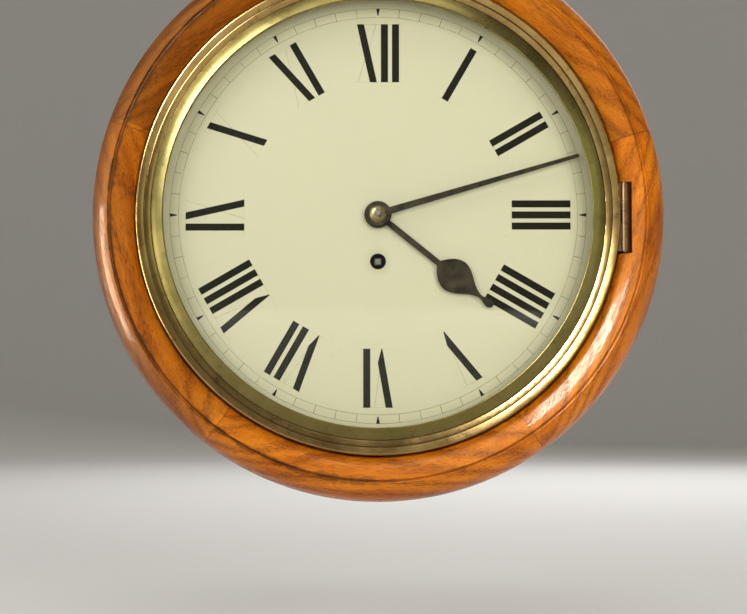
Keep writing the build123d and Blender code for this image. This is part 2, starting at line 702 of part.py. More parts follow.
front_plate = drill_front(front_plate, BARREL, BARREL_FRONT_PIVOT_R + RUNNING)
front_plate = drill_front(front_plate, SECOND, SECOND_PIVOT_R + RUNNING)
front_plate = drill_front(front_plate, CENTRE, CENTRE_PIVOT_R + RUNNING)
front_plate = drill_front(front_plate, THIRD, THIRD_PIVOT_R + RUNNING)
front_plate = drill_front(front_plate, ESCAPE, ESCAPE_PIVOT_R + RUNNING)
front_plate = drill_front(front_plate, PALLET, PALLET_PIVOT_R + RUNNING)
front_plate = drill_front(front_plate, MOTION, 1.5)
front_plate = drill_front(front_plate, CLICK_CENTRE, 1.2)
front_plate = drill_front(front_plate, CLICK_SPRING_SCREW, 1.2)
back_plate = drill_back(back_plate, BARREL, BARREL_BACK_PIVOT_R + RUNNING)
back_plate = drill_back(back_plate, SECOND, SECOND_PIVOT_R + RUNNING)
back_plate = drill_back(back_plate, CENTRE, CENTRE_PIVOT_R + RUNNING)
back_plate = drill_back(back_plate, THIRD, THIRD_PIVOT_R + RUNNING)
back_plate = drill_back(back_plate, ESCAPE, ESCAPE_PIVOT_R + RUNNING)
back_plate = drill_back(back_plate, PALLET, 4.0)
for spot in COCK_SCREWS:
    back_plate = drill_back(back_plate, spot, 1.2)

pillars = []
for spot in pillar_spots:
    front_plate = drill_front(front_plate, spot, 2.5)
    back_plate = drill_back(back_plate, spot, 2.5)
    pillar = bar(spot, 4.0, BACK_PLATE_FRONT, FRONT_PLATE_BACK)
    pillar = pillar + bar(spot, 5.0, BACK_PLATE_FRONT, BACK_PLATE_FRONT + 2.5)
    pillar = pillar + bar(spot, 5.0, FRONT_PLATE_BACK - 2.5, FRONT_PLATE_BACK)
    pillar = pillar + bar(spot, 5.0, FRONT_PLATE_BACK - 24, FRONT_PLATE_BACK - 21)
    pillar = pillar + bar(spot, 2.5, BACK_PLATE_BACK - 0.5, BACK_PLATE_FRONT)
    pillar = pillar + bar(spot, 2.5, FRONT_PLATE_BACK, FRONT_PLATE_FRONT + 3.6)
    pin_depth = FRONT_PLATE_FRONT + 1.4
    pillar = pillar - crossbar(pin_depth, spot[1], 0.7, spot[0] - 4, spot[0] + 4)
    pillars.append(pillar)
    pins.append(crossbar(pin_depth, spot[1], 0.7, spot[0] - 7, spot[0] + 5))
for spot in dial_feet_spots:
    front_plate = drill_front(front_plate, spot, 2.0)
pieces["front_plate"] = front_plate
pieces["back_plate"] = back_plate
pieces["plate_pillars"] = together(pillars)

# ------------------------------------------------------------------ going barrel
GREAT_TEETH = 72
GREAT_MODULE = 0.75
DRUM_R = 25.0
DRUM_INNER_R = 23.8
DRUM_END = 33.5
great_wheel = wheel_face(BARREL, GREAT_TEETH, GREAT_MODULE, SECOND)
barrel = level(great_wheel, 3.0, 5.5) + rod(BARREL, DRUM_R, 5.5, DRUM_END)
barrel = barrel - rod(BARREL, DRUM_INNER_R, 5.5, DRUM_END + 1)
barrel = barrel - rod(BARREL, BARREL_FRONT_PIVOT_R + RUNNING, 2, 6)
pieces["mainspring_barrel"] = barrel
cover = rod(BARREL, DRUM_INNER_R, 32.0, DRUM_END)
cover = cover + rod(BARREL, 6.5, DRUM_END, DRUM_END + 0.8)
cover = cover - rod(BARREL, 3.0 + RUNNING, 30, 36)
pieces["barrel_cover"] = cover

SPRING_TURNS = 8
SPRING_THICK = 0.5
SPRING_INNER_R = 8.2
SPRING_OUTER_R = 23.5
STEPS_PER_TURN = 24
inner_side = []
outer_side = []
for step in range(SPRING_TURNS * STEPS_PER_TURN + 1):
    share = step / (SPRING_TURNS * STEPS_PER_TURN)
    radius = SPRING_INNER_R + share * (SPRING_OUTER_R - SPRING_THICK - SPRING_INNER_R)
    degrees = 360.0 * step / STEPS_PER_TURN
    inner_side.append(polar(radius, degrees, BARREL))
    outer_side.append(polar(radius + SPRING_THICK, degrees, BARREL))
outer_side.reverse()
spring_face = make_face(Polyline(*(inner_side + outer_side), close=True))
pieces["mainspring"] = level(spring_face, 6.4, 31.4)

# Arbor with its hook, both pivots and the winding square.
SQUARE_END = 117.2
winding_arbor = rod(BARREL, BARREL_FRONT_PIVOT_R, -PLATE_THICK - 0.3, 6.0)
winding_arbor = winding_arbor + rod(BARREL, 6.0, 5.8, 31.8)
winding_arbor = winding_arbor + rod(BARREL, 3.0, 31.8, PLATE_GAP - 0.3)
winding_arbor = winding_arbor + rod(
    BARREL, BARREL_BACK_PIVOT_R, PLATE_GAP - 0.3, PLATE_GAP + PLATE_THICK + 0.5
)
winding_arbor = winding_arbor + block(
    -1.2, 1.2, behind(21), behind(16), BARREL[1] + 5.5, BARREL[1] + 7.2
)
winding_square = block(
    -SQUARE / 2, SQUARE / 2, FRONT_PLATE_FRONT + 0.3, SQUARE_END,
    BARREL[1] - SQUARE / 2, BARREL[1] + SQUARE / 2,
)
square_end = winding_square.faces().sort_by(Axis.Y)[0]
winding_square = chamfer(square_end.edges(), 0.9)
pieces["winding_arbor"] = winding_arbor + winding_square

# Ratchet: radial faces look anticlockwise, so that the arbor can only be wound clockwise.
RATCHET_TEETH = 12
RATCHET_R = 8.0
RATCHET_ROOT_R = 6.3
RATCHET_BACK = FRONT_PLATE_FRONT + 0.4
RATCHET_FRONT = RATCHET_BACK + 2.0
RATCHET_FACE_AT = -60.0
ratchet_points = []
for index in range(RATCHET_TEETH):
    face_at = RATCHET_FACE_AT + 360.0 * index / RATCHET_TEETH
    ratchet_points.append(polar(RATCHET_R, face_at, BARREL))
    ratchet_points.append(polar(RATCHET_ROOT_R, face_at, BARREL))
ratchet = flat(make_face(Polyline(*ratchet_points, close=True)), RATCHET_BACK, RATCHET_FRONT)
ratchet = ratchet - block(
    -SQUARE / 2, SQUARE / 2, RATCHET_BACK - 1, RATCHET_FRONT + 1,
    BARREL[1] - SQUARE / 2, BARREL[1] + SQUARE / 2,
)
pieces["ratchet_wheel"] = ratchet

nose_outer = polar(RATCHET_R + 0.3, RATCHET_FACE_AT + 1.5, BARREL)
nose_inner = polar(RATCHET_ROOT_R + 0.6, RATCHET_FACE_AT + 1.5, BARREL)
click_face = make_face(Polyline(
    nose_inner,
    nose_outer,
    (CLICK_CENTRE[0] - 1.5, CLICK_CENTRE[1] - 4.2),
    (CLICK_CENTRE[0] + 2.4, CLICK_CENTRE[1] - 2.4),
    (CLICK_CENTRE[0] - 0.6, CLICK_CENTRE[1] + 2.2),
    (CLICK_CENTRE[0] - 3.2, CLICK_CENTRE[1] - 0.4),
    polar(RATCHET_R + 0.5, RATCHET_FACE_AT + 24, BARREL),
    close=True,
))
click_face = click_face + Pos(CLICK_CENTRE[0], CLICK_CENTRE[1]) * Circle(3.2)
click = flat(click_face, RATCHET_BACK, RATCHET_FRONT)
click = click - bar(CLICK_CENTRE, 1.5 + RUNNING, RATCHET_BACK - 1, RATCHET_FRONT + 1)
pieces["click"] = click

# Flat spring from its screw up to the back of the click.
spring_foot = bar(CLICK_SPRING_SCREW, 3.0, FRONT_PLATE_FRONT, FRONT_PLATE_FRONT + 1.0)
spring_foot = spring_foot - bar(
    CLICK_SPRING_SCREW, 1.2, FRONT_PLATE_FRONT - 1, FRONT_PLATE_FRONT + 2
)
spring_line = [(17.0, -49.4), (12.0, -44.5), (9.6, -41.0), (9.9, -37.65)]
strip = []
for x, z in spring_line:
    strip.append((x - 0.3, z))
for x, z in reversed(spring_line):
    strip.append((x + 0.3, z))
spring_strip = flat(
    make_face(Polyline(*strip, close=True)), FRONT_PLATE_FRONT + 0.2, RATCHET_FRONT
)
spring_neck = block(16.4, 17.6, FRONT_PLATE_FRONT, FRONT_PLATE_FRONT + 1.0, -50.4, -48.9)
pieces["click_spring"] = spring_foot + spring_neck + spring_strip

# ------------------------------------------------------------------ train wheels
def arbor(centre, body_r, pivot_r, pinion, near, far):
    """Arbor between the plates with a pivot at each end and a pinion cut on it."""
    shape = rod(centre, body_r, 0.3, PLATE_GAP - 0.3)
    shape = shape + rod(centre, pivot_r, -PLATE_THICK + 0.1, PLATE_GAP + PLATE_THICK - 0.1)
    return shape + level(pinion, near, far)


def train_wheel(centre, teeth, module, mate, hub_r, rim_r, spoke, count, bore_r, near, far):
    """Crossed-out wheel with a collet on its arbor."""
    face = wheel_face(centre, teeth, module, mate) - crossings(centre, hub_r, rim_r, spoke, count)
    shape = level(face, near, far) + rod(centre, hub_r * 0.8, near - 1.0, far)
    return shape - rod(centre, bore_r, near - 3, far + 3)


SECOND_ARBOR_R = 2.25
CENTRE_ARBOR_R = 2.0
THIRD_ARBOR_R = 1.25
ESCAPE_ARBOR_R = 1.05

pieces["second_arbor"] = arbor(
    SECOND, SECOND_ARBOR_R, SECOND_PIVOT_R, pinion_face(SECOND, 12, 0.75, BARREL), 2.5, 6.5
)
pieces["second_wheel"] = train_wheel(
    SECOND, 66, 0.6, CENTRE, 5.5, 16.4, 2.6, 4, SECOND_ARBOR_R, 36.0, 37.4
)
pieces["third_arbor"] = arbor(
    THIRD, THIRD_ARBOR_R, THIRD_PIVOT_R, pinion_face(THIRD, 8, 0.5, CENTRE), 38.5, 42.5
)
pieces["third_wheel"] = train_wheel(
    THIRD, 88, 0.42, ESCAPE, 4.5, 15.8, 2.0, 4, THIRD_ARBOR_R, 20.0, 21.2
)

# The centre arbor runs on through the front plate and carries the hands.
ARBOR_FRONT = 129.2
centre_arbor = rod(CENTRE, CENTRE_ARBOR_R, 0.3, PLATE_GAP - 0.3)
centre_arbor = centre_arbor + rod(CENTRE, CENTRE_PIVOT_R, 30, PLATE_GAP + PLATE_THICK - 0.1)
centre_arbor = centre_arbor + bar(CENTRE, CENTRE_PIVOT_R, behind(1), ARBOR_FRONT)
centre_arbor = centre_arbor + level(pinion_face(CENTRE, 11, 0.6, SECOND), 35.0, 38.5)
HAND_PIN_DEPTH = 128.2
HAND_PIN_R = 0.5
minute_turn = Rot(0, MINUTE_HAND_ANGLE, 0)
hand_pin_hole = minute_turn * crossbar(HAND_PIN_DEPTH, 0, HAND_PIN_R, -4, 4)
pieces["centre_arbor"] = centre_arbor - hand_pin_hole
pieces["centre_wheel"] = train_wheel(
    CENTRE, 80, 0.5, THIRD, 5.0, 17.0, 2.4, 4, CENTRE_ARBOR_R, 40.0, 41.2
)

# ------------------------------------------------------------------ escapement
ESCAPE_TEETH = 40
ESCAPE_R = 16.0
ESCAPE_ROOT_R = 13.7
escape_points = []
for index in range(ESCAPE_TEETH):
    base = 360.0 * index / ESCAPE_TEETH
    escape_points.append(polar(ESCAPE_ROOT_R, base, ESCAPE))
    escape_points.append(polar(ESCAPE_R, base - 1.2, ESCAPE))
    escape_points.append(polar(ESCAPE_R, base - 0.4, ESCAPE))
    escape_points.append(polar(ESCAPE_ROOT_R, base + 4.5, ESCAPE))
escape_face = make_face(Polyline(*escape_points, close=True))
escape_face = escape_face - crossings(ESCAPE, 4.0, 12.0, 1.8, 4)
escape_wheel = level(escape_face, 10.0, 11.5) + rod(ESCAPE, 3.2, 9.0, 11.5)
pieces["escape_wheel"] = escape_wheel - rod(ESCAPE, ESCAPE_ARBOR_R, 5, 15)
pieces["escape_arbor"] = arbor(
    ESCAPE, ESCAPE_ARBOR_R, ESCAPE_PIVOT_R, pinion_face(ESCAPE, 8, 0.42, THIRD), 18.5, 22.5
)

pallet_arm = make_face(Polyline(
    (0.0, PALLET[1] + 2.6),
    (11.8, PALLET[1] - 0.6),
    (12.6, PALLET[1] - 2.6),
    (10.7, PALLET[1] - 6.0),
    (9.4, PALLET[1] - 5.2),
    (9.9, PALLET[1] - 2.8),
    (0.0, PALLET[1] - 2.6),
    close=True,
))
pallet_face = pallet_arm + mirror(pallet_arm, Plane.YZ)
pallet_face = pallet_face + Pos(PALLET[0], PALLET[1]) * Circle(2.7)
PALLET_ARBOR_R = 1.6
pieces["pallets"] = level(pallet_face, 10.0, 12.0) - rod(PALLET, PALLET_ARBOR_R, 8, 14)

COCK_BACK = 29.0
COCK_FRONT = 31.5
pallet_arbor = bar(PALLET, PALLET_ARBOR_R, COCK_FRONT + 0.3, behind(0.3))
pallet_arbor = pallet_arbor + bar(PALLET, PALLET_PIVOT_R, COCK_BACK + 0.1, behind(-2.4))
pieces["pallet_arbor"] = pallet_arbor

ROD_R = 1.25
CRUTCH_LOW = -10.0
crutch = block(-1.8, 1.8, 40.0, 41.2, CRUTCH_LOW, PALLET[1])
crutch = crutch + bar(PALLET, 3.4, 39.0, 41.2)
crutch = crutch + block(-3.6, 3.6, 40.0, 41.2, CRUTCH_LOW - 3, CRUTCH_LOW + 1)
for left in (-3.1, ROD_R + 0.35):
    crutch = crutch + block(left, left + 1.5, 20.0, 41.2, CRUTCH_LOW - 2.2, CRUTCH_LOW - 0.6)
pieces["crutch"] = crutch - bar(PALLET, PALLET_ARBOR_R, 38, 43)

# ------------------------------------------------------------------ back cock and pendulum
cock = block(-28.0, 28.0, COCK_BACK, COCK_FRONT, 45.0, 56.0)
for left in (-20.0, 16.0):
    cock = cock + block(left, left + 4, COCK_FRONT, BACK_PLATE_BACK, 45.0, 56.0)
for left in (-28.0, 16.0):
    cock = cock + block(left, left + 12, BACK_PLATE_BACK - 2.5, BACK_PLATE_BACK, 45.0, 56.0)
trim_bar = block(-30, -20, COCK_BACK - 1, COCK_FRONT + 1, 44, 57)
cock = cock - trim_bar - mirror(trim_bar, Plane.YZ)
cock = cock + block(-4.5, 4.5, 19.0, COCK_BACK, 46.0, 51.0)
cock = cock - block(-0.45, 0.45, 18.0, 27.6, 45.5, 51.5)
cock = cock - bar(PALLET, PALLET_PIVOT_R + RUNNING, 28.0, 32.0)
for spot in COCK_SCREWS:
    cock = cock - bar(spot, 1.2, BACK_PLATE_BACK - 4, BACK_PLATE_BACK + 1)
pieces["back_cock"] = cock

SPRING_TOP = 52.6
SPRING_LOW = 36.0
suspension = block(-0.1, 0.1, 20.2, 27.2, SPRING_LOW + 3, SPRING_TOP)
suspension = suspension + crossbar(23.7, SPRING_TOP - 0.7, 0.6, -3.2, 3.2)
suspension = suspension + block(-2.0, 2.0, 19.8, 27.6, SPRING_LOW, SPRING_LOW + 4.5)
pieces["suspension_spring"] = suspension

ROD_LOW = -149.0
pendulum_rod = upright(0, PENDULUM_DEPTH, ROD_R, ROD_LOW, SPRING_LOW)
pieces["pendulum_rod"] = pendulum_rod

BOB_EDGE_HALF = 1.3
BOB_HALF_THICK = 5.5
BOB_RISE = BOB_HALF_THICK - BOB_EDGE_HALF
BOB_CURVE_R = (BOB_R ** 2 + BOB_RISE ** 2) / (2 * BOB_RISE)
mid_thick = BOB_HALF_THICK - BOB_CURVE_R + math.sqrt(BOB_CURVE_R ** 2 - (BOB_R / 2) ** 2)
bob_section = outline(
    (0.0, BOB_HALF_THICK),
    ((BOB_R / 2, mid_thick), (BOB_R, BOB_EDGE_HALF)),
    (BOB_R, -BOB_EDGE_HALF),
    ((BOB_R / 2, -mid_thick), (0.0, -BOB_HALF_THICK)),
)
bob = Pos(0, -PENDULUM_DEPTH, BOB_Z) * revolve(SECTION * bob_section, axis=Axis.Y)
bob = bob - upright(0, PENDULUM_DEPTH, ROD_R, ROD_LOW, SPRING_LOW)
pieces["pendulum_bob"] = bob
nut_top = BOB_Z - BOB_R - 0.1
nut = upright(0, PENDULUM_DEPTH, 4.2, nut_top - 3.6, nut_top)
nut = nut - upright(0, PENDULUM_DEPTH, ROD_R, ROD_LOW, SPRING_LOW)
for index in range(16):
    groove_x, groove_y = polar(4.4, 360.0 * index / 16)
    nut = nut - upright(groove_x, PENDULUM_DEPTH + groove_y, 0.45, nut_top - 4, nut_top + 1)
pieces["rating_nut"] = nut

# ------------------------------------------------------------------ movement screws
movement_screws = []
for spot in COCK_SCREWS:
    place = facing_wall(spot[0], BACK_PLATE_BACK - 2.5, spot[1])
    movement_screws.append(screw(place, 2.6, 1.2, 1.8, 5.0))
click_post = bar(CLICK_CENTRE, 1.2, FRONT_PLATE_BACK, FRONT_PLATE_FRONT)
click_post = click_post + bar(CLICK_CENTRE, 1.5, FRONT_PLATE_FRONT, RATCHET_FRONT + 0.2)
click_head = bar(CLICK_CENTRE, 2.8, RATCHET_FRONT + 0.2, RATCHET_FRONT + 1.6)
click_slot = block(
    CLICK_CENTRE[0] - 4, CLICK_CENTRE[0] + 4, RATCHET_FRONT + 0.9, RATCHET_FRONT + 2,
    CLICK_CENTRE[1] - 0.35, CLICK_CENTRE[1] + 0.35,
)
movement_screws.append(click_post + click_head - click_slot)
movement_screws.append(screw(
    facing_front(CLICK_SPRING_SCREW[0], FRONT_PLATE_FRONT + 1.0, CLICK_SPRING_SCREW[1]),
    2.4, 1.2, 1.4, 3.5,
))
stud = bar(MOTION, 1.5, FRONT_PLATE_BACK, 106.4)
stud = stud + bar(MOTION, 2.2, 106.4, 107.4) + bar(MOTION, 2.6, FRONT_PLATE_FRONT, 99.0)
movement_screws.append(stud)
pieces["movement_screws"] = together(movement_screws)
pieces["taper_pins"] = together(pins)

# ------------------------------------------------------------------ motion work
PIPE_R = 2.6
HOUR_PIPE_R = 3.9
HAND_SQUARE = 3.6
cannon = bar(CENTRE, PIPE_R, FRONT_PLATE_FRONT + 0.4, 123.4)
cannon = cannon + flat(pinion_face(CENTRE, 12, 0.625, MOTION), 98.0, 103.0)
hand_square = minute_turn * block(
    -HAND_SQUARE / 2, HAND_SQUARE / 2, 123.4, 125.4, -HAND_SQUARE / 2, HAND_SQUARE / 2
)
cannon = cannon + hand_square
pieces["cannon_pinion"] = cannon - bar(CENTRE, CENTRE_PIVOT_R, 90, 130)

minute_face = wheel_face(MOTION, 36, 0.625, CENTRE) - crossings(MOTION, 4.4, 8.6, 1.8, 4)
minute_wheel = flat(minute_face, 99.6, 100.8)
minute_wheel = minute_wheel + flat(pinion_face(MOTION, 10, 0.6, CENTRE), 100.8, 105.6)
pieces["minute_wheel"] = minute_wheel - bar(MOTION, 1.5 + RUNNING, 95, 110)

hour_face = wheel_face(CENTRE, 40, 0.6, MOTION) - crossings(CENTRE, 5.4, 9.6, 2.0, 4)
hour_wheel = flat(hour_face, 103.6, 104.8) + bar(CENTRE, HOUR_PIPE_R, 103.3, 121.6)
pieces["hour_wheel"] = hour_wheel - bar(CENTRE, PIPE_R + RUNNING, 95, 130)

# ------------------------------------------------------------------ hands
spade_edge = [
    (51.6, 1.9), (54.2, 5.2), (58.6, 9.2), (64.6, 11.3), (71.2, 9.7),
    (77.8, 5.2), (83.0, 2.2), (88.2, 1.2), (93.6, 2.8), (97.4, 0.9),
]
upper = Spline(*spade_edge)
lower = Spline(*[(reach, -half) for reach, half in spade_edge])
first_reach, first_half = spade_edge[0]
last_reach, last_half = spade_edge[-1]
spade = make_face([
    upper,
    lower,
    Line((first_reach, -first_half), (first_reach, first_half)),
    Line((last_reach, -last_half), (last_reach, last_half)),
])
hour_stem = Pos(26.2, 0) * Rectangle(52.4, 3.9)
hour_hand_face = spade + hour_stem + Circle(9.0)
hour_hand = flat(Rot(0, 0, 90 - HOUR_HAND_ANGLE) * hour_hand_face, 120.4, 121.6)
hour_hand = hour_hand + bar(CENTRE, 5.4, 119.2, 120.4)
pieces["hour_hand"] = hour_hand - bar(CENTRE, HOUR_PIPE_R, 110, 130)

minute_blade = make_face(Polyline(
    (0, -2.35), (MINUTE_HAND_LENGTH - 1.0, -1.2), (MINUTE_HAND_LENGTH, -0.5),
    (MINUTE_HAND_LENGTH, 0.5), (MINUTE_HAND_LENGTH - 1.0, 1.2), (0, 2.35), close=True,
))
minute_face_plan = minute_blade + Circle(7.7)
minute_face_plan = minute_face_plan - Rectangle(HAND_SQUARE, HAND_SQUARE)
pieces["minute_hand"] = flat(
    Rot(0, 0, 90 - MINUTE_HAND_ANGLE) * minute_face_plan, 123.9, 125.0
)

collet_section = outline(
    (0.0, 125.0),
    (5.7, 125.0),
    (5.7, 125.5),
    ((4.3, 127.0), (2.4, 127.6)),
    (0.0, 127.6),
)
collet = turned(collet_section) - bar(CENTRE, CENTRE_PIVOT_R, 120, 130)
recess = minute_turn * block(
    -HAND_SQUARE / 2, HAND_SQUARE / 2, 124.5, 125.5, -HAND_SQUARE / 2, HAND_SQUARE / 2
)
hand_pin = minute_turn * crossbar(HAND_PIN_DEPTH, 0, HAND_PIN_R, -4, 4)
pieces["hand_collet"] = together([collet - recess, hand_pin])

# ------------------------------------------------------------------ write the pieces
os.makedirs("parts", exist_ok=True)
drop = Location((0, 0, -HANG_HEIGHT))
for name, shape in pieces.items():
    export_step(drop * shape, f"parts/{name}.step")
print(len(pieces), "pieces")
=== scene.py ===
import math

import bmesh
import bpy
from mathutils import Matrix, Vector


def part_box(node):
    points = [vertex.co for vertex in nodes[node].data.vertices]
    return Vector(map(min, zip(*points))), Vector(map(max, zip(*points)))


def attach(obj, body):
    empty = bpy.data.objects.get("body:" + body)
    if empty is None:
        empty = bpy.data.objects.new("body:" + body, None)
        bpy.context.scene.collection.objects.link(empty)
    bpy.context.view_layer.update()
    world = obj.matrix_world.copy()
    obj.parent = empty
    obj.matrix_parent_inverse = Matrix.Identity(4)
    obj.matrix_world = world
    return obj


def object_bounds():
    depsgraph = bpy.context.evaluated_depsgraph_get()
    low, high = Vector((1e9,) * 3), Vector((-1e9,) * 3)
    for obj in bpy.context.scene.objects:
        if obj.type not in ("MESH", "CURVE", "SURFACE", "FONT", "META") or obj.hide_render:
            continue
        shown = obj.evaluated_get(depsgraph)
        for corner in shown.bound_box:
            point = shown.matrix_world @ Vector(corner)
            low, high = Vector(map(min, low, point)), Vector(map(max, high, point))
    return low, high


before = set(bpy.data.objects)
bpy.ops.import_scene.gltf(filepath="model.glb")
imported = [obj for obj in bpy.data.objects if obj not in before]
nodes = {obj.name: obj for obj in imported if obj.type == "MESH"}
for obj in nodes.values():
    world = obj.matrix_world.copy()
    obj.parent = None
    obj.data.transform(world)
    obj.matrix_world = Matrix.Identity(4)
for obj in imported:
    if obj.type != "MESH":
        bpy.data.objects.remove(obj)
cad_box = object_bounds()

# ------------------------------------------------------------------ places, in metres
dial_low, dial_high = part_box("dial_plate")
AXIS = Vector((0.0, dial_low.y, (dial_low.z + dial_high.z) / 2))   # centre of the dial's face
DIAL_Y = dial_low.y
FIRST_JOINT = 55.0        # first glued joint, in degrees clockwise from three o'clock
FELLOE = 72.0             # turn of one glued segment, in degrees
QUIRK = 0.1756            # radius of the cut line round the surround
BEZEL_EDGE = 0.1606       # radius where the surround meets the bezel
WINDING_DROP = 0.031      # the winding hole lies this far below the hands' axis
NOTCH_SHADE_REACH = 0.0050      # painted shade in the hinge notch reaches this far either side of the pin
NOTCH_HALF = 0.0238
hinge_low, hinge_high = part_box("bezel_hinge_pin")
NOTCH_MIDDLE = (hinge_low + hinge_high) / 2
FRONT_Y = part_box("surround_felloes")[0].y + 0.015   # the turned face lies in front of this


# ------------------------------------------------------------------ material maker
class Look:
    """One node material.  Every method returns an output socket, or takes one."""

    def __init__(self, name):
        self.material = bpy.data.materials.new(name)
        self.material.use_nodes = True
        self.tree = self.material.node_tree
        self.tree.nodes.clear()
        self.output = self.tree.nodes.new("ShaderNodeOutputMaterial")
        self.shader = self.tree.nodes.new("ShaderNodeBsdfPrincipled")
        self.tree.links.new(self.shader.outputs[0], self.output.inputs[0])
        self.place = self.tree.nodes.new("ShaderNodeTexCoord").outputs["Object"]

    def feed(self, socket, value):
        if isinstance(value, bpy.types.NodeSocket):
            self.tree.links.new(value, socket)
        elif value is not None:
            socket.default_value = value

    def math(self, operation, *values):
        node = self.tree.nodes.new("ShaderNodeMath")
        node.operation = operation
        for socket, value in zip(node.inputs, values):
            self.feed(socket, value)
        return node.outputs[0]

    def parts(self, vector):
        node = self.tree.nodes.new("ShaderNodeSeparateXYZ")
        self.feed(node.inputs[0], vector)
        return node.outputs

    def vector(self, x, y, z):
        node = self.tree.nodes.new("ShaderNodeCombineXYZ")
        for socket, value in zip(node.inputs, (x, y, z)):
            self.feed(socket, value)
        return node.outputs[0]

    def stretch(self, vector, scale, shift=(0, 0, 0)):
        node = self.tree.nodes.new("ShaderNodeMapping")
        self.feed(node.inputs["Vector"], vector)
        node.inputs["Scale"].default_value = scale
        node.inputs["Location"].default_value = shift
        return node.outputs[0]

    def noise(self, vector, scale, detail=2.0, roughness=0.5, distortion=0.0):
        node = self.tree.nodes.new("ShaderNodeTexNoise")
        self.feed(node.inputs["Vector"], vector)
        node.inputs["Scale"].default_value = scale
        node.inputs["Detail"].default_value = detail
        node.inputs["Roughness"].default_value = roughness
        node.inputs["Distortion"].default_value = distortion
        return node.outputs[0]

    def ramp(self, value, stops, ease="LINEAR"):
        node = self.tree.nodes.new("ShaderNodeValToRGB")
        node.color_ramp.interpolation = ease
        self.feed(node.inputs[0], value)
        elements = node.color_ramp.elements
        while len(elements) < len(stops):
            elements.new(0.5)
        for element, (at, colour) in zip(elements, stops):
            element.position = at
            if isinstance(colour, (int, float)):
                colour = (colour, colour, colour)
            element.color = (*colour, 1.0)
        return node.outputs[0]

    def mix(self, share, first, second, mode="MIX"):
        node = self.tree.nodes.new("ShaderNodeMix")
        node.data_type = "RGBA"
        node.blend_type = mode
        self.feed(node.inputs[0], share)
        for socket, value in ((node.inputs[6], first), (node.inputs[7], second)):
            if isinstance(value, tuple):
                value = (*value[:3], 1.0)
            self.feed(socket, value)
        return node.outputs[2]

    def bump(self, height, strength, distance):
        node = self.tree.nodes.new("ShaderNodeBump")
        node.inputs["Strength"].default_value = strength
        node.inputs["Distance"].default_value = distance
        self.feed(node.inputs["Height"], height)
        self.feed(self.shader.inputs["Normal"], node.outputs[0])
        return node.outputs[0]

    def set(self, **values):
        for name, value in values.items():
            if isinstance(value, tuple) and len(value) == 3:
                value = (*value, 1.0)
            self.feed(self.shader.inputs[name.replace("_", " ")], value)
        return self.material


def from_axis(look):
    """Right, depth, height above the hands' axis, and distance from that axis."""
    x, y, z = look.parts(look.place)
    up = look.math("SUBTRACT", z, AXIS.z)
    radius = look.math("SQRT", look.math("ADD", look.math("MULTIPLY", x, x),
                                         look.math("MULTIPLY", up, up)))
    return x, y, up, radius


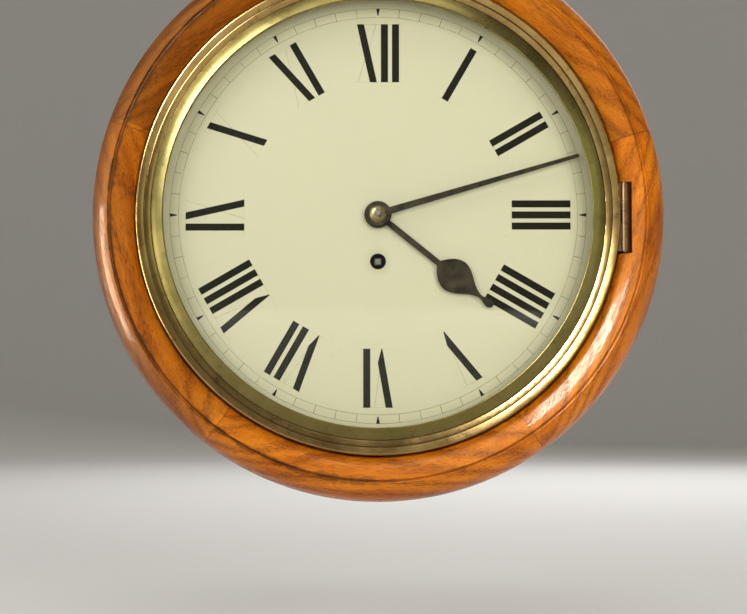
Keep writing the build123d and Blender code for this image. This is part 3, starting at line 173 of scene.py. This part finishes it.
def wood(name, along, pale, middle, dark, gloss=0.36, coat=0.36, fleck=0.5, groove=False):
    """Oak with the grain along the first part of the vector that along() makes."""
    look = Look(name)
    grain = along(look)
    # Growth rings: wide bands across the grain, wandering along it.
    wander = look.noise(look.stretch(grain, (5.0, 26.0, 26.0)), 1.0, 2.0, 0.5)
    across = look.parts(grain)
    rings = look.math("ADD", look.math("MULTIPLY", across[1], 190.0),
                      look.math("MULTIPLY", wander, 7.0))
    rings = look.math("ADD", rings, look.math("MULTIPLY", across[2], 60.0))
    ring = look.math("PINGPONG", rings, 1.0)
    tone = look.noise(look.stretch(grain, (9.0, 60.0, 60.0)), 1.0, 4.0, 0.6, 0.4)
    tint = look.ramp(tone, [(0.28, dark), (0.48, middle), (0.72, pale)])
    tint = look.mix(look.ramp(ring, [(0.35, 0.0), (1.0, 0.55)]), tint, dark)
    # Fibres: fine lines along the grain.
    fibre = look.noise(look.stretch(grain, (30.0, 900.0, 900.0)), 1.0, 2.0, 0.6)
    tint = look.mix(look.ramp(fibre, [(0.35, 0.5), (0.62, 0.0)]), tint,
                    look.mix(0.55, tint, dark))
    # Dark streaks of stain that has run into the open grain.
    streak = look.noise(look.stretch(grain, (13.0, 120.0, 120.0), (5, 2, 7)), 1.0, 3.0, 0.6, 0.6)
    tint = look.mix(look.ramp(streak, [(0.56, 0.0), (0.70, 0.55)]), tint,
                    look.mix(0.5, tint, tuple(0.3 * part for part in dark)))
    # Open pores: short dark dashes, crowded into the dark side of each ring.
    pore = look.noise(look.stretch(grain, (130.0, 2300.0, 2300.0)), 1.0, 1.0, 0.5)
    crowd = look.math("MULTIPLY", ring, 0.16)
    pore = look.math("ADD", pore, crowd)
    pore = look.ramp(pore, [(0.64, 0.0), (0.72, 1.0)])
    blackened = tuple(0.22 * part for part in dark)
    tint = look.mix(look.math("MULTIPLY", pore, 0.62), tint, blackened)
    # Ray flecks: pale satin patches.
    ray = look.noise(look.stretch(grain, (120.0, 330.0, 330.0), (3, 1, 2)), 1.0, 1.0, 0.4)
    ray = look.ramp(ray, [(0.60, 0.0), (0.68, fleck)])
    tint = look.mix(look.math("MULTIPLY", ray, 0.45), tint, pale)
    # Old polish, uneven and a little grimy.
    grime = look.noise(look.place, 14.0, 4.0, 0.6)
    tint = look.mix(look.ramp(grime, [(0.30, 0.45), (0.55, 0.0)]), tint,
                    look.mix(0.6, tint, blackened))
    if groove:
        x, y, up, radius = from_axis(look)
        # The polish is duller above the middle.
        dulled = look.ramp(look.math("ADD", look.math("MULTIPLY", up, 5.0), 0.5),
                           [(0.50, 1.0), (0.66, 0.25)])
        streaked = look.ramp(fibre, [(0.38, 0.40), (0.58, 1.0)])
        coat = look.math("MULTIPLY", look.math("MULTIPLY", dulled, streaked), coat)
        uneven = look.math("MULTIPLY", look.noise(look.place, 130.0, 3.0, 0.7), 0.0018)
        # Painted shade: the rim is darker towards the left and towards its outer edge.
        left_and_rim_shade = look.math("SUBTRACT", look.math("MULTIPLY", x, 1.5),
                         look.math("MULTIPLY", look.math("SUBTRACT", radius, 0.165), 12.0))
        left_and_rim_shade = look.ramp(look.math("ADD", left_and_rim_shade, 0.6), [(0.04, 0.62), (0.35, 0.88), (0.60, 1.0)])
        tint = look.mix(1.0, tint, left_and_rim_shade, "MULTIPLY")
        # The quirk gets a dark line, partly dust and partly painted shade; the bezel's edge gets
        # a painted shadow; the glued joints are darkened further on.
        from_quirk = look.math("ABSOLUTE", look.math("SUBTRACT", radius, QUIRK))
        from_quirk = look.math("SUBTRACT", from_quirk, look.math("SUBTRACT", uneven, 0.0007))
        spread = look.ramp(look.noise(look.place, 75.0, 2.0, 0.6, 0.5),
                           [(0.38, 1.0), (0.60, 0.35)])
        share = look.ramp(look.math("MULTIPLY", look.math("MULTIPLY", from_quirk, 600.0), spread),
                          [(0.10, 0.92), (0.30, 0.55), (0.75, 0.0)])
        # Painted shade: the quirk's line is darker towards nine o'clock than towards three, in
        # patches.
        patchy_left_shade = look.math("SUBTRACT", look.noise(look.place, 14.0, 2.0, 0.5),
                           look.math("MULTIPLY", x, 0.8))
        patchy_left_shade = look.ramp(patchy_left_shade, [(0.36, 0.18), (0.60, 1.0)])
        share = look.math("MULTIPLY", share, patchy_left_shade)
        front = look.math("LESS_THAN", y, FRONT_Y)
        tint = look.mix(look.math("MULTIPLY", share, front), tint, (0.030, 0.009, 0.002))
        # Painted shadow on the oak where it meets the bezel.
        edge = look.math("SUBTRACT", look.math("ADD", radius, uneven), BEZEL_EDGE)
        share = look.ramp(look.math("MULTIPLY", edge, 300.0), [(0.0, 0.85), (0.45, 0.0)])
        tint = look.mix(look.math("MULTIPLY", share, front), tint, (0.035, 0.011, 0.003))
        # Painted shade round the hinge in its notch, in the gap beside the knuckle.
        past_hinge = look.math("SUBTRACT", x, NOTCH_MIDDLE.x)
        beside = look.math("ABSOLUTE", look.math("SUBTRACT", up, NOTCH_MIDDLE.z - AXIS.z))
        outside = look.math("DIVIDE", look.math("ABSOLUTE", past_hinge), NOTCH_SHADE_REACH)
        outside = look.math("MAXIMUM", outside, look.math("DIVIDE", beside, NOTCH_HALF))
        share = look.ramp(outside, [(0.97, 0.92), (1.0, 0.0)])
        tint = look.mix(share, tint, (0.040, 0.008, 0.003))
        # Each glued segment has its own tone, with a dark line at the joint.
        step = felloe_step(look)
        darker = look.ramp(look.math("DIVIDE", step, 5.0),
                           [(0.0, 1.0), (0.2, 0.80), (0.4, 0.50), (0.6, 0.80), (0.8, 1.0)],
                           "CONSTANT")
        tint = look.mix(1.0, tint, darker, "MULTIPLY")
        from_joint = look.math("PINGPONG", step, 0.5)
        share = look.ramp(look.math("MULTIPLY", from_joint, 60.0), [(0.02, 0.50), (0.16, 0.0)])
        tint = look.mix(share, tint, (0.05, 0.014, 0.003))
    rough = look.ramp(grime, [(0.3, gloss + 0.14), (0.7, gloss)])
    if groove:
        rough = look.math("ADD", rough, look.math("MULTIPLY", look.math("SUBTRACT", 1.0, dulled),
                                                  0.25))
    height = look.math("SUBTRACT", look.math("MULTIPLY", fibre, 0.35), pore)
    uneven_coat = look.bump(height, 0.35, 0.00025)
    return look.set(Base_Color=tint, Roughness=rough, Coat_Weight=coat, Coat_Roughness=0.10,
                    Coat_Normal=uneven_coat, IOR=1.45, Specular_Tint=(1.0, 0.45, 0.14))


def felloe_step(look):
    """Clockwise turn from the first glued joint, counted in segments from 0 to 5."""
    x, _, up, _ = from_axis(look)
    angle = look.math("ARCTAN2", look.math("MULTIPLY", up, -1.0), x)
    angle = look.math("SUBTRACT", angle, math.radians(FIRST_JOINT))
    angle = look.math("FLOORED_MODULO", angle, math.tau)
    return look.math("DIVIDE", angle, math.radians(FELLOE))


def felloe_grain(look):
    """Straight grain in each glued segment, turned with the segment."""
    x, y, up, _ = from_axis(look)
    index = look.math("FLOOR", felloe_step(look))
    centre = look.math("ADD", look.math("MULTIPLY", index, math.radians(FELLOE)),
                       math.radians(FIRST_JOINT + FELLOE / 2))
    sine = look.math("SINE", centre)
    cosine = look.math("COSINE", centre)
    along = look.math("ADD", look.math("MULTIPLY", x, sine), look.math("MULTIPLY", up, cosine))
    across = look.math("SUBTRACT", look.math("MULTIPLY", x, cosine),
                       look.math("MULTIPLY", up, sine))
    shift = look.math("MULTIPLY", index, 3.17)
    return look.vector(look.math("ADD", along, shift), look.math("ADD", across, shift), y)


def grain_along(axis, shift):
    """Grain along one axis of the frame; shift gives each board its own figure."""
    def make(look):
        x, y, z = look.parts(look.place)
        order = {"x": (x, z, y), "y": (y, x, z), "z": (z, x, y)}[axis]
        return look.vector(look.math("ADD", order[0], shift),
                           look.math("ADD", order[1], shift * 1.7), order[2])
    return make


SCRATCH = 0.25            # how far fine scratches spread a metal's roughness


def metal(name, colour, worn, roughness, cloud=60.0, tarnish=None):
    """Aged metal: cloudy tarnish and fine scratches."""
    look = Look(name)
    cloudy = look.noise(look.place, cloud, 4.0, 0.6)
    tint = look.mix(look.ramp(cloudy, [(0.35, 0.0), (0.65, 1.0)]), colour, worn)
    if tarnish is not None:
        spots = look.noise(look.place, cloud * 3.1, 3.0, 0.7)
        tint = look.mix(look.ramp(spots, [(0.58, 0.0), (0.70, 0.75)]), tint, tarnish)
    marks = look.noise(look.stretch(look.place, (90.0, 2200.0, 2200.0)), 1.0, 2.0, 0.6)
    rough = look.math("ADD", look.math("MULTIPLY", marks, SCRATCH), roughness - SCRATCH / 2)
    rough = look.math("ADD", rough, look.math("MULTIPLY", cloudy, 0.10))
    look.bump(marks, 0.06, 0.0001)
    return look.set(Base_Color=tint, Metallic=1.0, Roughness=rough)


PALE = (0.86, 0.275, 0.012)
MIDDLE = (0.68, 0.180, 0.003)
DARK = (0.36, 0.072, 0.002)
PLAIN = ((0.56, 0.33, 0.14), (0.42, 0.22, 0.085), (0.25, 0.12, 0.04))

surround_oak = wood("surround_oak", felloe_grain, PALE, MIDDLE, DARK, coat=0.45, groove=True)
looks = {"surround_felloes": surround_oak}
for node, axis, shift in (
    ("box_left_side", "z", 0.3), ("box_right_side", "z", 1.1), ("box_top", "x", 2.3),
    ("box_bottom", "x", 3.1), ("side_door", "z", 4.7), ("bottom_door", "x", 5.9),
):
    deeper = [tuple(0.72 * part for part in shade) for shade in (PALE, MIDDLE, DARK)]
    looks[node] = wood("oak_" + node, grain_along(axis, shift), *deeper, gloss=0.42, coat=0.15)
looks["back_board"] = wood("oak_back", grain_along("z", 6.6), *PLAIN, gloss=0.6, coat=0.0)
looks["surround_battens"] = wood("oak_battens", grain_along("y", 7.7), *PLAIN, gloss=0.6,
                                 coat=0.0)
looks["case_pegs"] = wood("peg_wood", grain_along("x", 8.8), (0.40, 0.20, 0.08),
                          (0.30, 0.14, 0.05), (0.17, 0.07, 0.025), gloss=0.55, coat=0.0,
                          fleck=0.0)


def aged_bezel():
    """Turned brass under old lacquer: olive inside, browner outside in part as a painted
    reflection of the oak, with painted shade in the grooves and at the edges.
    """
    look = Look("bezel_brass")
    _, y, _, radius = from_axis(look)
    cloudy = look.noise(look.place, 45.0, 4.0, 0.6)
    worn = look.ramp(cloudy, [(0.35, 0.0), (0.65, 1.0)])
    olive = look.mix(worn, (0.20, 0.165, 0.050), (0.26, 0.21, 0.075))
    # The outer bead is browner, partly a painted reflection of the oak round it.
    brown = look.mix(worn, (0.36, 0.225, 0.075), (0.46, 0.31, 0.115))
    # From 0 at the sight edge to 1 at 20 mm outside it.
    place = look.math("MULTIPLY", look.math("SUBTRACT", radius, 0.140), 50.0)
    tint = look.mix(look.ramp(place, [(0.42, 0.0), (0.50, 1.0)]), olive, brown)
    # Painted shade in the turned grooves, at the sight edge and at the outer edge against the
    # oak.
    step_shade = look.ramp(place, [(0.0, 0.45), (0.035, 0.0), (0.42, 0.0), (0.45, 0.85), (0.48, 0.15),
                              (0.62, 0.1), (0.66, 0.8), (0.70, 0.0), (0.90, 0.0), (0.95, 0.7)])
    tint = look.mix(step_shade, tint, (0.035, 0.022, 0.007))
    spots = look.noise(look.place, 150.0, 4.0, 0.7)
    tint = look.mix(look.ramp(spots, [(0.56, 0.0), (0.72, 0.6)]), tint, (0.10, 0.062, 0.022))
    marks = look.noise(look.vector(radius, y, 0.0), 2600.0, 2.0, 0.6)
    rough = look.math("ADD", look.math("MULTIPLY", marks, 0.08),
                      look.math("MULTIPLY", cloudy, 0.16))
    rough = look.math("ADD", rough, look.ramp(place, [(0.42, 0.17), (0.50, 0.08)]))
    look.bump(marks, 0.05, 0.0001)
    return look.set(Base_Color=tint, Metallic=1.0, Roughness=rough)


BRASS = (0.50, 0.39, 0.15)
OLD_BRASS = (0.30, 0.225, 0.080)
BROWN = (0.10, 0.06, 0.022)
bezel_brass = aged_bezel()
hinge_brass = metal("hinge_brass", (0.33, 0.20, 0.10), (0.20, 0.125, 0.065), 0.34,
                    cloud=120.0, tarnish=BROWN)
small_brass = metal("small_brass", BRASS, OLD_BRASS, 0.34, tarnish=BROWN)
plate_brass = metal("plate_brass", (0.66, 0.47, 0.17), (0.50, 0.34, 0.11), 0.30, cloud=40.0)
bright_steel = metal("bright_steel", (0.50, 0.50, 0.50), (0.36, 0.36, 0.37), 0.26, cloud=120.0)
dark_steel = metal("dark_steel", (0.10, 0.10, 0.11), (0.06, 0.05, 0.05), 0.40, cloud=150.0)
spring_steel = metal("spring_steel", (0.13, 0.15, 0.22), (0.20, 0.20, 0.24), 0.25)
screw_steel = metal("screw_steel", (0.30, 0.28, 0.26), (0.20, 0.17, 0.14), 0.38,
                    cloud=200.0, tarnish=(0.12, 0.06, 0.03))


def hand_steel():
    """Blackened steel hands, thinly oiled, with brown wear."""
    look = Look("hand_steel")
    cloudy = look.noise(look.place, 170.0, 4.0, 0.65)
    tint = look.ramp(cloudy, [(0.35, (0.020, 0.016, 0.006)), (0.66, (0.058, 0.045, 0.018))])
    rough = look.ramp(cloudy, [(0.3, 0.34), (0.7, 0.5)])
    look.bump(cloudy, 0.08, 0.0002)
    return look.set(Base_Color=tint, Metallic=0.6, Roughness=rough, Coat_Weight=0.08)


def dial_paint():
    """Cream paint gone yellow towards the rim, with faint stains, on a rusty iron back."""
    look = Look("dial_paint")
    x, _, up, radius = from_axis(look)
    base = look.ramp(look.math("DIVIDE", radius, 0.152),
                     [(0.0, (0.70, 0.70, 0.476)), (0.80, (0.70, 0.695, 0.467)),
                      (0.97, (0.68, 0.665, 0.42))])
    patch = look.noise(look.place, 22.0, 4.0, 0.6)
    base = look.mix(look.ramp(patch, [(0.40, 0.40), (0.62, 0.0)]), base, (0.68, 0.665, 0.43))
    # Grease around the winding hole.
    hole = look.vector(x, 0.0, look.math("ADD", up, WINDING_DROP))
    away = look.tree.nodes.new("ShaderNodeVectorMath")
    away.operation = "LENGTH"
    look.feed(away.inputs[0], hole)
    ring = look.math("ADD", away.outputs["Value"], look.math("MULTIPLY", patch, 0.004))
    base = look.mix(look.ramp(look.math("MULTIPLY", ring, 40.0), [(0.30, 0.34), (0.52, 0.0)]),
                    base, (0.38, 0.33, 0.16))
    freckle = look.noise(look.place, 520.0, 2.0, 0.5)
    base = look.mix(look.ramp(freckle, [(0.70, 0.0), (0.78, 0.35)]), base, (0.40, 0.33, 0.15))
    fine = look.noise(look.place, 900.0, 2.0, 0.5)
    look.bump(fine, 0.03, 0.0002)
    rough = look.ramp(patch, [(0.3, 0.42), (0.7, 0.32)])
    # The back is left in iron, dark with old varnish and rust.
    geometry = look.tree.nodes.new("ShaderNodeTexCoord")
    behind = look.ramp(look.parts(geometry.outputs["Normal"])[1], [(0.45, 0.0), (0.55, 1.0)])
    rust = look.ramp(patch, [(0.38, (0.045, 0.032, 0.024)), (0.62, (0.13, 0.060, 0.030))])
    base = look.mix(behind, base, rust)
    return look.set(Base_Color=base, Roughness=rough, Coat_Weight=0.1, Coat_Roughness=0.25)


def worn_paint(name, colour, under, wear):
    """Black numeral paint; wear is how much of the dial shows through."""
    look = Look(name)
    rub = look.noise(look.place, 260.0, 5.0, 0.7)
    fade = look.noise(look.place, 35.0, 2.0, 0.5)
    share = look.math("ADD", look.math("MULTIPLY", rub, 0.7), look.math("MULTIPLY", fade, 0.3))
    tint = look.mix(look.ramp(share, [(0.62 - wear, 0.0), (0.80 - wear, 1.0)]), colour, under)
    return look.set(Base_Color=tint, Roughness=0.5, Specular_IOR_Level=0.08)


GLASS_IOR = 1.32


def pane():
    """Thin clear glass: see-through, with a mirror share that grows towards the edge."""
    look = Look("clock_glass")
    tree = look.tree
    tree.nodes.remove(look.shader)
    clear = tree.nodes.new("ShaderNodeBsdfTransparent")
    clear.inputs[0].default_value = (0.98, 0.98, 0.975, 1.0)
    mirror = tree.nodes.new("ShaderNodeBsdfGlossy")
    mirror.inputs["Color"].default_value = (0.95, 1.0, 0.96, 1.0)
    mirror.inputs["Roughness"].default_value = 0.03
    # The same mirror share on the way in and on the way out of the pane.
    inside = tree.nodes.new("ShaderNodeNewGeometry").outputs["Backfacing"]
    fresnel = tree.nodes.new("ShaderNodeFresnel")
    way_in = look.math("SUBTRACT", 1.0, look.math("MULTIPLY", inside, 2.0))
    ratio = look.math("POWER", GLASS_IOR, way_in)
    look.feed(fresnel.inputs["IOR"], ratio)
    blend = tree.nodes.new("ShaderNodeMixShader")
    tree.links.new(fresnel.outputs[0], blend.inputs[0])
    tree.links.new(clear.outputs[0], blend.inputs[1])
    tree.links.new(mirror.outputs[0], blend.inputs[2])
    tree.links.new(blend.outputs[0], look.output.inputs[0])
    return look.material


looks["bezel_ring"] = bezel_brass
looks["hand_collet"] = metal("collet_brass", (0.36, 0.31, 0.16), (0.24, 0.19, 0.085), 0.36,
                             cloud=160.0, tarnish=BROWN)
for node in ("bezel_hinge_leaf", "case_hinge_leaf"):
    looks[node] = hinge_brass
for node in (
    "hanging_plate", "door_hinge_case_leaves", "side_door_hinge_leaf", "side_door_turn_catch",
    "bottom_door_hinge_leaf", "bottom_door_turn_catch", "dial_feet", "glass_retaining_ring",
    "bezel_catch", "pendulum_bob", "rating_nut",
):
    looks[node] = small_brass
for node in (
    "front_plate", "back_plate", "plate_pillars", "mainspring_barrel", "barrel_cover",
    "second_wheel", "centre_wheel", "third_wheel", "escape_wheel", "back_cock",
    "minute_wheel", "hour_wheel",
):
    looks[node] = plate_brass
for node in ("ratchet_wheel", "click"):
    looks[node] = dark_steel
for node in (
    "taper_pins", "bezel_hinge_pin", "winding_arbor",
    "second_arbor", "centre_arbor", "third_arbor", "escape_arbor", "pallets",
    "pallet_arbor", "crutch", "pendulum_rod", "cannon_pinion",
):
    looks[node] = bright_steel
for node in ("mainspring", "click_spring", "suspension_spring"):
    looks[node] = spring_steel
for node in ("wood_screws", "movement_screws"):
    looks[node] = screw_steel
for node in ("hour_hand", "minute_hand"):
    looks[node] = hand_steel()
looks["dial_plate"] = dial_paint()
looks["glass"] = pane()

for name, obj in nodes.items():
    obj.data.materials.clear()
    obj.data.materials.append(looks[name])


def soften(name, degrees):
    """Smooth shading across curved faces, with sharp edges kept."""
    mesh = nodes[name].data
    for polygon in mesh.polygons:
        polygon.use_smooth = True
    mesh.set_sharp_from_angle(angle=math.radians(degrees))


SHARP_ANGLE = 28
for name in nodes:
    soften(name, SHARP_ANGLE)

# ------------------------------------------------------------------ painted dial marks
PAINT_THICK = 0.00005
PAINT_SUNK = 0.00001


def dial_point(right, up, lift):
    return Vector((right, DIAL_Y - lift, AXIS.z + up))


def paint_piece(name, shapes, material, lift=PAINT_THICK):
    """One mesh of thin closed slips of paint.

    Each shape is a list of (right, up) corners in metres, or a pair of such lists, the inner
    and the outer edge of a band that closes on itself.
    """
    build = bmesh.new()
    for shape in shapes:
        edges = shape if isinstance(shape, tuple) else (shape,)
        fronts = [[build.verts.new(dial_point(x, z, lift)) for x, z in edge] for edge in edges]
        backs = [[build.verts.new(dial_point(x, z, -PAINT_SUNK)) for x, z in edge]
                 for edge in edges]
        for front, back in zip(fronts, backs):
            count = len(front)
            for index in range(count):
                after = (index + 1) % count
                build.faces.new((front[index], back[index], back[after], front[after]))
        for layer in (fronts, backs):
            if len(layer) == 1:
                build.faces.new(layer[0])
                continue
            inner, outer = layer
            for index in range(len(inner)):
                after = (index + 1) % len(inner)
                build.faces.new((inner[index], outer[index], outer[after], inner[after]))
    bmesh.ops.recalc_face_normals(build, faces=build.faces)
    mesh = bpy.data.meshes.new(name)
    build.to_mesh(mesh)
    build.free()
    mesh.materials.append(material)
    piece = bpy.data.objects.new(name, mesh)
    bpy.context.scene.collection.objects.link(piece)
    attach(piece, "case")


def turn(points, clock_degrees):
    """Turn (across, outward) millimetres to a clock angle, as (right, up) metres."""
    angle = math.radians(clock_degrees)
    out = (math.sin(angle), math.cos(angle))
    across = (math.cos(angle), -math.sin(angle))
    return [((across[0] * u + out[0] * v) / 1000, (across[1] * u + out[1] * v) / 1000)
            for u, v in points]


# The painted marks are laid out in millimetres; turn() makes metres of them.
NUMERAL_IN = 89.0
NUMERAL_OUT = 128.1
THICK = 4.7
THIN = 0.5
SPACING = 7.4             # from one thick stroke to the next
WIDTHS = {"I": THICK, "V": 12.2, "X": 13.4}
V_FOOT = 6.9              # how far the foot of a V lies along its box
V_CUT = 0.24              # share of the height where the foot narrows to a point
SERIF = 0.25
SERIF_PAST = 2.6
numerals = ["XII", "I", "II", "III", "IIII", "V", "VI", "VII", "VIII", "IX", "X", "XI"]


def letter(kind, left):
    """Thick shapes and thin shapes of one letter whose box starts at left."""
    low, high = NUMERAL_IN, NUMERAL_OUT
    width = WIDTHS[kind]
    if kind == "I":
        return [[(left, low), (left + THICK, low), (left + THICK, high), (left, high)]], []
    if kind == "V":
        thick = [[(left, high), (left + V_FOOT, low), (left + V_FOOT + 0.6, low),
                  (left + THICK + V_FOOT * (1 - V_CUT), low + V_CUT * (high - low)),
                  (left + THICK, high)]]
        thin = [[(left + V_FOOT, low), (left + V_FOOT + THIN, low), (left + width, high),
                 (left + width - THIN, high)]]
        return thick, thin
    thick = [[(left, high), (left + width - THICK, low), (left + width, low),
              (left + THICK, high)]]
    thin = [[(left + 0.4, low), (left + 0.4 + THIN, low), (left + width - 0.3, high),
             (left + width - 0.3 - THIN, high)]]
    return thick, thin


thick_shapes = []
thin_shapes = []
for hour, text in enumerate(numerals):
    gap = SPACING - THICK
    widths = [WIDTHS[kind] for kind in text]
    total = sum(widths) + gap * (len(text) - 1)
    left = -total / 2
    for kind, width in zip(text, widths):
        thick, thin = letter(kind, left)
        thick_shapes += [turn(shape, 30 * hour) for shape in thick]
        thin_shapes += [turn(shape, 30 * hour) for shape in thin]
        left += width + gap
    edge = total / 2 + SERIF_PAST
    for level in (NUMERAL_OUT - SERIF, NUMERAL_IN):
        serif = [(-edge, level), (edge, level), (edge, level + SERIF), (-edge, level + SERIF)]
        thin_shapes.append(turn(serif, 30 * hour))

TRACK_LINE = 0.28
TRACK_IN = 132.8
TRACK_OUT = 138.6
TICK_HALF = 0.2
WEDGE_IN = TRACK_IN + 1.1
WEDGE_HALF_IN = 0.3
WEDGE_HALF_OUT = 1.2
track_shapes = []
wedge_shapes = []
for minute in range(60):
    if minute % 5:
        low = TRACK_IN + TRACK_LINE / 2
        high = TRACK_OUT - TRACK_LINE / 2
        tick = [(-TICK_HALF, low), (TICK_HALF, low), (TICK_HALF, high), (-TICK_HALF, high)]
        track_shapes.append(turn(tick, 6 * minute))
    else:
        wedge = [(-WEDGE_HALF_IN, WEDGE_IN), (WEDGE_HALF_IN, WEDGE_IN),
                 (WEDGE_HALF_OUT, TRACK_OUT), (-WEDGE_HALF_OUT, TRACK_OUT)]
        wedge_shapes.append(turn(wedge, 6 * minute))
for radius in (TRACK_IN, TRACK_OUT):
    inner_edge = [turn([(0, radius - TRACK_LINE / 2)], degrees)[0] for degrees in range(360)]
    outer_edge = [turn([(0, radius + TRACK_LINE / 2)], degrees)[0] for degrees in range(360)]
    track_shapes.append((inner_edge, outer_edge))

CREAM = (0.65, 0.64, 0.40)
black = worn_paint("numeral_paint", (0.008, 0.006, 0.002), (0.07, 0.058, 0.020), 0.0)
faint = worn_paint("worn_hairlines", (0.42, 0.39, 0.22), CREAM, 0.22)
track_paint = worn_paint("track_paint", (0.20, 0.18, 0.08), (0.56, 0.52, 0.30), 0.16)
paint_piece("painted_numerals", thick_shapes, black)
paint_piece("painted_hairlines", thin_shapes, faint, PAINT_THICK * 0.6)
paint_piece("painted_minute_track", track_shapes, track_paint, PAINT_THICK * 0.7)
paint_piece("painted_five_minute_marks", wedge_shapes, black)


# ------------------------------------------------------------------ stage
def stage_mesh(name, verts, faces, material):
    mesh = bpy.data.meshes.new(name)
    mesh.from_pydata(verts, [], faces)
    for polygon in mesh.polygons:
        polygon.use_smooth = True
    mesh.materials.append(material)
    obj = bpy.data.objects.new(name, mesh)
    bpy.context.scene.collection.objects.link(obj)


# A round room of pale paper: a flat floor that bends up into an upright wall.
FLOOR_Z = cad_box[0][2] - 0.10
FLOOR_MIDDLE = 0.6
ROOM_R = 2.7
ROOM_BEND = 3.0
ROOM_HIGH = 4.5
BEND_STEPS = 24
AROUND = 72
sweep_line = [(FLOOR_MIDDLE, 0.0), (ROOM_R, 0.0)]
for step in range(1, BEND_STEPS + 1):
    turn_by = math.radians(90 * step / BEND_STEPS)
    sweep_line.append((ROOM_R + ROOM_BEND * math.sin(turn_by),
                       ROOM_BEND - ROOM_BEND * math.cos(turn_by)))
sweep_line.append((ROOM_R + ROOM_BEND, ROOM_HIGH))
sweep_verts = [(0.0, 0.0, FLOOR_Z)]
for reach, z in sweep_line:
    for index in range(AROUND):
        angle = math.tau * index / AROUND
        sweep_verts.append((reach * math.cos(angle), reach * math.sin(angle), FLOOR_Z + z))
sweep_faces = [(0, 1 + index, 1 + (index + 1) % AROUND) for index in range(AROUND)]
for ring in range(len(sweep_line) - 1):
    low, high = 1 + ring * AROUND, 1 + (ring + 1) * AROUND
    for index in range(AROUND):
        after = (index + 1) % AROUND
        sweep_faces.append((low + index, high + index, high + after, low + after))
paper = Look("pale_paper").set(Base_Color=(0.80, 0.79, 0.77), Roughness=0.9,
                               Specular_IOR_Level=0.0)
stage_mesh("sweep", sweep_verts, sweep_faces, paper)


def softbox(name, place, width, height, power, colour=(1.0, 1.0, 1.0), across=(1, 0, 0)):
    """A rectangular light aimed at the middle of the dial; its width lies along across."""
    light = bpy.data.lights.new(name, "AREA")
    light.shape = "RECTANGLE"
    light.size = width
    light.size_y = height
    light.energy = power
    light.color = colour
    obj = bpy.data.objects.new(name, light)
    away = (Vector(place) - AXIS).normalized()
    up = away.cross(Vector(across)).normalized()
    facing = Matrix((up.cross(away), up, away)).transposed().to_4x4()
    obj.matrix_world = Matrix.Translation(place) @ facing
    obj.visible_camera = False
    bpy.context.scene.collection.objects.link(obj)
    return obj


def towards(direction, distance):
    """The place that lies that far from the middle of the dial."""
    return AXIS + Vector(direction).normalized() * distance


def linked(name, state, *members):
    """A collection that keeps a light on its members, or off them."""
    group = bpy.data.collections.new(name)
    for member in members:
        group.objects.link(nodes[member])
    for entry in group.collection_objects:
        entry.light_linking.link_state = state
    return group


# Windows would lie as white patches on the glass, so they don't light it.
off_glass = linked("off_glass", "EXCLUDE", "glass")
off_glass_and_oak = linked("off_glass_and_oak", "EXCLUDE", "glass", "surround_felloes")
oak_alone = linked("oak_alone", "INCLUDE", "surround_felloes")

WINDOW_FAR = 1.9
WINDOW_LEAN = (0.68, 0.0, 0.73)

# Frontal lights shape the matt surfaces alone; windows and panels give the gloss.
for soft in (
    softbox("key_right", (0.90, -2.20, 0.25), 1.1, 1.1, 25, (1.0, 0.98, 0.95)),
    softbox("key_left", (-0.90, -2.20, 0.15), 0.9, 0.9, 12.5, (1.0, 0.98, 0.95)),
    softbox("window_fill", (-1.25, -1.20, 0.95), 0.75, 0.9, 5),
):
    soft.visible_glossy = False
for sharp, group in (
    (softbox("window", towards((-0.520, -0.712, 0.475), WINDOW_FAR), 0.80, 0.52, 62,
             across=WINDOW_LEAN), off_glass_and_oak),
    (softbox("oak_window", towards((-0.535, -0.690, 0.490), WINDOW_FAR), 0.74, 0.70, 88,
             (1.0, 0.97, 0.90), WINDOW_LEAN), oak_alone),
    (softbox("window_above", towards((-0.61, -0.44, 0.66), WINDOW_FAR), 0.8, 0.30, 1.4,
             (1.0, 0.93, 0.75), (0.71, 0.0, 0.70)), off_glass),
    (softbox("side_window", towards((-0.70, -0.09, -0.12), 0.715), 0.40, 0.22, 6,
             (1.0, 0.95, 0.80), (0.2, 0.0, -0.98)), off_glass),
):
    sharp.visible_diffuse = False
    sharp.light_linking.receiver_collection = group
for panel in (
    softbox("panel_right", (1.45, -1.45, 0.20), 1.0, 1.2, 3.2, (0.86, 1.0, 0.66)),
    softbox("panel_left", (-1.50, -1.45, -0.35), 0.8, 0.7, 1.9, (0.84, 1.0, 0.84)),
):
    panel.visible_diffuse = False
softbox("top_soft", (0.1, -1.3, 1.9), 1.2, 0.7, 8, (1.0, 0.97, 0.92))
softbox("back_fill", (0.6, 2.0, 1.2), 1.5, 1.5, 34)

world = bpy.data.worlds.new("studio")
world.use_nodes = True
sky = world.node_tree.nodes["Background"]
sky.inputs["Color"].default_value = (0.90, 0.85, 0.76, 1.0)
sky.inputs["Strength"].default_value = 0.22
bpy.context.scene.world = world
bpy.context.scene.view_settings.view_transform = "Standard"

# ------------------------------------------------------------------ camera
# Below the dial's centre, and turned a little so that the centre sits high in the picture.
DISTANCE = 1.1
BELOW = math.radians(5.9)
SENSOR = 36.0
LENS = 79.518             # millimetres
RISE = math.radians(3.1914)       # the dial's centre lies this far above the view's middle
SIDEWAYS = math.radians(0.15626)
camera_data = bpy.data.cameras.new("camera")
camera_data.sensor_width = SENSOR
camera_data.lens = LENS
camera_data.clip_start = 0.01
camera = bpy.data.objects.new("camera", camera_data)
camera.location = (
    0.0,
    DIAL_Y - DISTANCE * math.cos(BELOW),
    AXIS.z - DISTANCE * math.sin(BELOW),
)
camera.rotation_euler = (math.radians(90) + BELOW - RISE, 0.0, SIDEWAYS)
bpy.context.scene.collection.objects.link(camera)
bpy.context.scene.camera = camera
